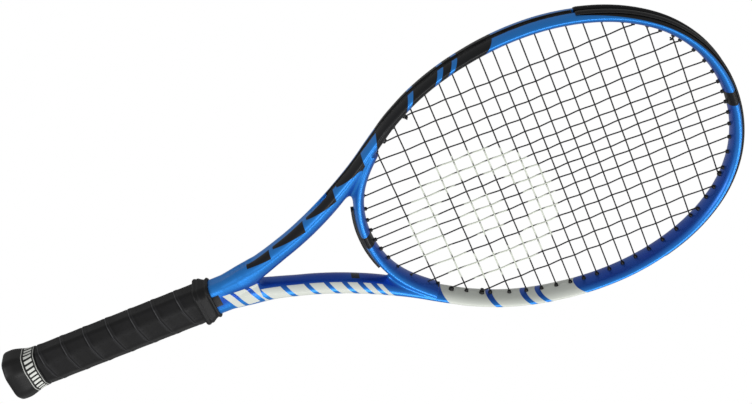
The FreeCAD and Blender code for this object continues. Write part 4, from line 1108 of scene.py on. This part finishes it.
# bumper: both halves in one sweep round the tip
s0 = s_polar(62.5)
s_half = np.linspace(s0, float(np.interp(0.0, -HP[200:HALF_COUNT + 2, 1], HS[200:HALF_COUNT + 2])), 150)
cx, cy = np.interp(s_half, HS, HP[:, 0]), np.interp(s_half, HS, HP[:, 1])
nx, ny = np.interp(s_half, HS, HN[:, 0]), np.interp(s_half, HS, HN[:, 1])
cy[-1], ny[-1] = 0.0, 0.0
secs = np.stack([bumper_section(*[float(np.interp(q, HS, HV[:, i])) for i in (0, 1, 3)], (q - s0) / 20.0) for q in s_half])
C2 = np.concatenate([np.stack([cx, cy], 1), np.stack([cx, -cy], 1)[-2::-1]])
N2 = np.concatenate([np.stack([nx, ny], 1), np.stack([nx, -ny], 1)[-2::-1]])
N2 /= np.linalg.norm(N2, axis=1)[:, None]
v, f = sweep(C2, N2, np.concatenate([secs, secs[-2::-1]]))
parts = [(v, f)] + [grommet(e, k in tie_keys) for k, e in ENDS.items() if e.where == "bumper"]
bumper_ob = make_mesh("bumper_guard", *merge(parts))
bumper_ob.data.materials.append(plastic_material("bumper_nylon_black", srgb("08080a"), srgb("111112"), 0.44, 1100.0, 0.08, spec=0.3))

# bridge strip
rows = [k for k in range(len(P_B)) if abs(P_B[k, 1]) <= 30.5]
fb0 = 4.7 - 0.1
sec = round_corners([(fb0, -3.2), (fb0 + 2.7, -3.25), (fb0 + 2.75, -2.45), (fb0 + 1.1, -2.15), (fb0 + 1.1, 2.15), (fb0 + 2.75, 2.45), (fb0 + 2.7, 3.25), (fb0, 3.2)],
                    (0.1, 0.4, 0.3, 0.5, 0.5, 0.3, 0.4, 0.1), 3)
v, f = sweep(P_B[rows], N_B[rows], sec)
parts = [(v, f[:, ::-1])] + [grommet(e) for e in ENDS.values() if e.where == "bridge"]
bstrip_ob = make_mesh("strip_bridge", *merge(parts))
bstrip_ob.data.materials.append(NYLON)
knots_ob = make_mesh("string_knots", *merge([knot(e, r) for e, r in knots]))
knots_ob.data.materials.append(mains_ob.data.materials[0])

# ------------------------------------------------------------------ handle
def octa_ring(w, h, fy, fz, r, per=20):
    """Closed ring of 8*per points on a rounded octagon (y, z)."""
    c = [(w, -fz), (w, fz), (fy, h), (-fy, h), (-w, fz), (-w, -fz), (-fy, -h), (fy, -h)]
    c = np.array(c, float)
    out = []
    for i in range(8):
        a, b = c[i], c[(i + 1) % 8]
        l = np.linalg.norm(b - a)
        prev, nxt = c[i - 1], c[(i + 2) % 8]
        q = min(r, l * 0.45)
        # per points: from the middle of the corner arc at a to the middle of the arc at b
        def arc(p0, p1, p2, t):
            u, v_ = p0 - p1, p2 - p1
            s_, e_ = p1 + u / np.linalg.norm(u) * q, p1 + v_ / np.linalg.norm(v_) * q
            return (1 - t) ** 2 * s_ + 2 * t * (1 - t) * p1 + t * t * e_
        m = per // 4
        for t in np.arange(m) / m:
            out.append(arc(prev, a, b, 0.5 + 0.5 * t))
        s_, e_ = arc(prev, a, b, 1.0), arc(a, b, nxt, 0.0)
        for t in np.arange(per - 2 * m) / (per - 2 * m):
            out.append(s_ + (e_ - s_) * t)
        for t in np.arange(m) / m:
            out.append(arc(a, b, nxt, 0.5 * t))
    return np.array(out)


GW, GH, GFY, GFZ = 17.5, 15.75, 8.1, 7.6
PITCH, SEAM0, TURN = 22.3, 33.0, 1.0


def ring_grow(ring, d):
    """Ring moved out along its own normals by d (scalar or one per point)."""
    t = np.roll(ring, -1, 0) - np.roll(ring, 1, 0)
    n = np.stack([t[:, 1], -t[:, 0]], 1)
    n /= np.linalg.norm(n, axis=1)[:, None]
    return ring + n * np.broadcast_to(np.asarray(d, float), (len(ring),))[:, None]


per = 20
base_ring = octa_ring(GW - 0.25, GH - 0.25, GFY, GFZ, 3.0, per)
theta = np.arctan2(base_ring[:, 1], base_ring[:, 0]) / (2 * math.pi)
gx = np.arange(30.3, 187.0, 0.55)
vv = []
for x in gx:
    u = (x - SEAM0) / PITCH - theta * TURN
    fr = (u - np.floor(u)) * PITCH
    rise = 0.34 * np.exp(-((fr - 2.2) / 2.4) ** 2) + 0.16 * np.exp(-((PITCH - fr) / 5.0) ** 2)
    notch = -0.42 * np.exp(-((fr - 0.0) / 0.42) ** 2) - 0.42 * np.exp(-((PITCH - fr) / 0.42) ** 2)
    ends = -0.8 * math.exp(-((x - 30.3) / 0.9) ** 2) - 1.0 * math.exp(-((187.0 - x) / 0.9) ** 2)
    r = ring_grow(base_ring, np.minimum(rise + notch, 0.36) + ends)
    vv.append(np.concatenate([np.full((len(r), 1), x), r], 1))
vv = np.concatenate(vv)
gv, gf = capped(vv, len(gx), len(base_ring), flip=False)
grip_ob = make_mesh("wrapped_grip", gv, gf)
grip_ob.data.materials.append(grip_material("grip_black", PITCH, SEAM0, TURN))

# butt cap: outside, end face, window and bore in one closed skin
FLARE = [(44.0, None), (31.2, None)]
rows = []
N_RING = 8 * per


def cap_ring(x, dw, dh, r):
    ring = octa_ring(GW + dw, GH + dh, GFY + 0.62 * dw + 0.9 * min(1, max(dw, 0) / 2.0), GFZ + 0.62 * dh + 0.9 * min(1, max(dh, 0) / 1.5), r, per)
    return np.concatenate([np.full((N_RING, 1), x), ring], 1)


def box_ring(x, w, h, r):
    """Rounded rectangle with the same count of points, matched by angle."""
    ang = np.arctan2(base_ring[:, 1] / GH, base_ring[:, 0] / GW)
    cx_, cz = np.cos(ang), np.sin(ang)
    k = (np.abs(cx_) ** 9 + np.abs(cz) ** 9) ** (-1 / 9)
    return np.stack([np.full(N_RING, x), w * cx_ * k, h * cz * k], 1)


CW, CH_ = 21.6 - GW, 18.4 - GH
rows.append(cap_ring(43.9, -2.6, -2.6, 2.0))
rows.append(cap_ring(30.6, -2.6, -2.6, 2.0))
for x, k in ((30.5, 0.0), (30.0, 0.06), (28.6, 0.07), (26.0, 0.10), (24.0, 0.15), (22.0, 0.23), (20.0, 0.33), (18.0, 0.46), (16.0, 0.60),
             (14.0, 0.74), (12.0, 0.87), (10.0, 0.965), (8.4, 1.0), (6.5, 1.0), (5.0, 1.0), (4.0, 0.99), (3.0, 0.965), (2.1, 0.915),
             (1.3, 0.84), (0.7, 0.75), (0.3, 0.66), (0.08, 0.57), (0.02, 0.48)):
    rows.append(cap_ring(x, CW * k, CH_ * k, 3.6 + k))
last = rows[-1][:, 1:]
win = box_ring(0.0, 12.5, 10.0, 1.0)[:, 1:]
for t, x in ((0.3, 0.02), (0.38, 0.35), (0.5, 0.55), (0.8, 0.55), (0.93, 0.5), (0.985, 0.2), (1.0, 0.35)):
    rows.append(np.concatenate([np.full((N_RING, 1), x), last * (1 - t) + win * t], 1))
rows.append(box_ring(4.6, 12.5, 10.0, 1.0))
rows.append(cap_ring(4.9, -3.9, -3.9, 1.5))
rows.append(cap_ring(43.9, -3.6, -3.6, 1.5))
cv = np.concatenate(rows)
cap_ob = make_mesh("flared_cap", cv, grid_faces(len(rows), N_RING, close_rows=True, close_cols=True)[:, ::-1])
cap_ob.data.materials.append(cap_material("cap_satin_black"))

# collar
def round_ring(x, w, h, r, cnt=160):
    """Rounded rectangle ring by angle."""
    a = np.arange(cnt) * 2 * math.pi / cnt
    out = []
    for t in a:
        dx_, dz_ = math.cos(t), math.sin(t)
        lo, hi = 0.0, 60.0
        for _ in range(34):
            mid = (lo + hi) / 2
            qx, qz = max(abs(dx_ * mid) - (w - r), 0), max(abs(dz_ * mid) - (h - r), 0)
            inside = (math.hypot(qx, qz) < r) if (qx > 0 or qz > 0) else True
            lo, hi = (mid, hi) if inside else (lo, mid)
        out.append((x, dx_ * lo, dz_ * lo))
    return np.array(out)


def sleeve_skin(outer, inner):
    rows_ = [round_ring(*q) for q in outer] + [round_ring(*q) for q in reversed(inner)]
    v_ = np.concatenate(rows_)
    return v_, grid_faces(len(rows_), 160, close_rows=True, close_cols=True)


outer = []
for x in np.concatenate([[184.62, 184.8, 185.2], np.arange(185.8, 198.2, 0.4), [198.4, 198.7, 198.9, 198.98]]):
    k = step(187.0, 196.6, x)
    w, h = 18.3 + (16.75 - 18.3) * k, 16.5 + (13.0 - 16.5) * k
    roll = 0.30 * math.exp(-((x - 186.3) / 1.0) ** 2) + 0.30 * math.exp(-((x - 190.4) / 1.1) ** 2) + 0.55 * math.exp(-((x - 197.4) / 0.9) ** 2) \
        - 0.22 * math.exp(-((x - 188.4) / 0.7) ** 2) - 0.25 * math.exp(-((x - 194.6) / 1.3) ** 2)
    edge = -0.55 * max(0.0, 1 - (x - 184.6) / 0.6) ** 2 - 0.9 * max(0.0, 1 - (198.98 - x) / 0.5) ** 2
    outer.append((float(x), w + roll + edge, h + roll + edge, 8.2))
inner = [(184.9, 17.72, 15.97, 7.4), (187.4, 17.72, 15.97, 7.4), (190.0, 15.6, 11.6, 7.2), (198.7, 15.6, 11.6, 7.2)]
v, f = sleeve_skin(outer, inner)
collar_ob = make_mesh("rubber_band", v, f[:, ::-1])
collar_ob.data.materials.append(rubber_material("collar_rubber_black"))

# finishing tape with its tab on the shaft
rows = [round_ring(x, 15.03 + d, 11.03 + d, 7.0, 160) for x, d in ((187.3, 0.02), (187.35, 0.24), (197.4, 0.24), (197.45, 0.02))]
v1 = np.concatenate(rows)
f1 = grid_faces(4, 160, close_cols=True)
tab = []
for x in np.arange(196.5, 205.01, 0.5):
    z = 11.02
    tab += [(x, -4.3, z - 0.05), (x, -4.25, z + 0.24), (x, 1.2, z + 0.27), (x, 6.65, z + 0.24), (x, 6.7, z - 0.05), (x, 1.2, z - 0.08)]
v2, f2 = capped(np.array(tab), len(tab) // 6, 6)
f1c = capped(v1, 4, 160)
tape_ob = make_mesh("tape_and_tab", *merge([f1c, (v2, f2)]))
tape_ob.data.materials.append(tape_material("tape_woven_black"))

# ------------------------------------------------------------------ bodies and what stands for what
for ob, nodes, body, slot in ((frame_ob, ["frame_hairpin"], "racket", "frame_paint"), (bridge_ob, ["throat_bridge"], "racket", "bridge_paint"),
                              (mains_ob, ["main_strings"], "racket", "string"), (crosses_ob, ["cross_strings"], "racket", "string"),
                              (knots_ob, [], "racket", "string"), (bumper_ob, ["head_bumper"], "racket", "bumper_nylon"),
                              (bstrip_ob, ["bridge_grommet_strip"], "racket", "grommet_nylon"), (grip_ob, ["grip_wrap"], "racket", "grip"),
                              (cap_ob, ["butt_cap"], "racket", "cap_plastic"), (collar_ob, ["rubber_collar"], "collar", "collar_rubber"),
                              (tape_ob, ["finishing_tape"], "racket", "tape")):
    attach(ob, body)
    if nodes:
        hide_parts(*nodes)

CAP_MAT = plastic_material("door_plastic_black", srgb("131313"), srgb("1f1f21"), 0.45)
KEEP = {"trap_door": CAP_MAT, "balance_weight": metal_material("weight_lead", srgb("5c5e62"), srgb("77797e"), 0.5),
        "butt_cap_staples": metal_material("staple_wire", srgb("9a9c9f"), srgb("c4c6c8"), 0.3)}
KEEP["grip_start_staple"] = KEEP["butt_cap_staples"]
FOAM = foam_material("handle_foam")
for node, ob in NODES.items():
    if node in KEEP or node.startswith("handle_pallet"):
        mat = KEEP.get(node, FOAM)
        if not ob.data.materials:
            ob.data.materials.append(mat)
        for i in range(len(ob.data.materials)):
            ob.data.materials[i] = mat

# ------------------------------------------------------------------ light, camera
world_ = bpy.data.worlds.new("studio") if bpy.context.scene.world is None else bpy.context.scene.world
bpy.context.scene.world = world_
world_.use_nodes = True
wt = world_.node_tree
bg = wt.nodes["Background"]
bg.inputs["Color"].default_value = (1.0, 1.0, 1.0, 1.0)
bg.inputs["Strength"].default_value = 0.46          # what the racket is lit by
white = wt.nodes.new("ShaderNodeBackground")
white.inputs["Color"].default_value = (1.0, 1.0, 1.0, 1.0)
white.inputs["Strength"].default_value = 1.0        # the white sheet behind it
path = wt.nodes.new("ShaderNodeLightPath")
both = wt.nodes.new("ShaderNodeMixShader")
wt.links.new(path.outputs["Is Camera Ray"], both.inputs[0])
wt.links.new(bg.outputs[0], both.inputs[1])
wt.links.new(white.outputs[0], both.inputs[2])
wt.links.new(both.outputs[0], [q for q in wt.nodes if q.type == "OUTPUT_WORLD"][0].inputs["Surface"])


def area(name, loc, target, size, power, size_y=None):
    li = bpy.data.lights.new(name, "AREA")
    li.energy = power
    li.size = size
    if size_y:
        li.shape = "RECTANGLE"
        li.size_y = size_y
    ob = bpy.data.objects.new(name, li)
    ob.location = loc
    d = Vector(target) - Vector(loc)
    ob.rotation_euler = d.to_track_quat("-Z", "Y").to_euler()
    bpy.context.scene.collection.objects.link(ob)
    return ob


area("soft_top", (0.1, -0.5, 2.2), (0, 0, 0), 1.2, 24.0)
area("soft_left", (-1.8, 0.9, 1.3), (0, 0, 0), 0.9, 16.0)
area("strip_far", (1.4, -1.5, 1.2), (0.1, 0, 0), 1.5, 20.0, 0.35)

cam = bpy.data.cameras.new("camera")
cam.lens = 76.88
cam.sensor_width = 36.0
cam_ob = bpy.data.objects.new("camera", cam)
bpy.context.scene.collection.objects.link(cam_ob)
RIGHT, UP, BACK = (0.9238872, -0.37157604, 0.09145322), (0.36675338, 0.79161265, -0.488714), (0.10919889, 0.48505739, 0.86763756)
loc = world((516.48, 702.69, 1204.94))
from mathutils import Matrix
m4 = Matrix(((RIGHT[0], UP[0], BACK[0], loc[0]), (RIGHT[1], UP[1], BACK[1], loc[1]), (RIGHT[2], UP[2], BACK[2], loc[2]), (0, 0, 0, 1)))
cam_ob.matrix_world = m4
bpy.context.scene.camera = cam_ob
bpy.context.scene.view_settings.view_transform = "Standard"
bpy.context.scene.view_settings.look = "None"
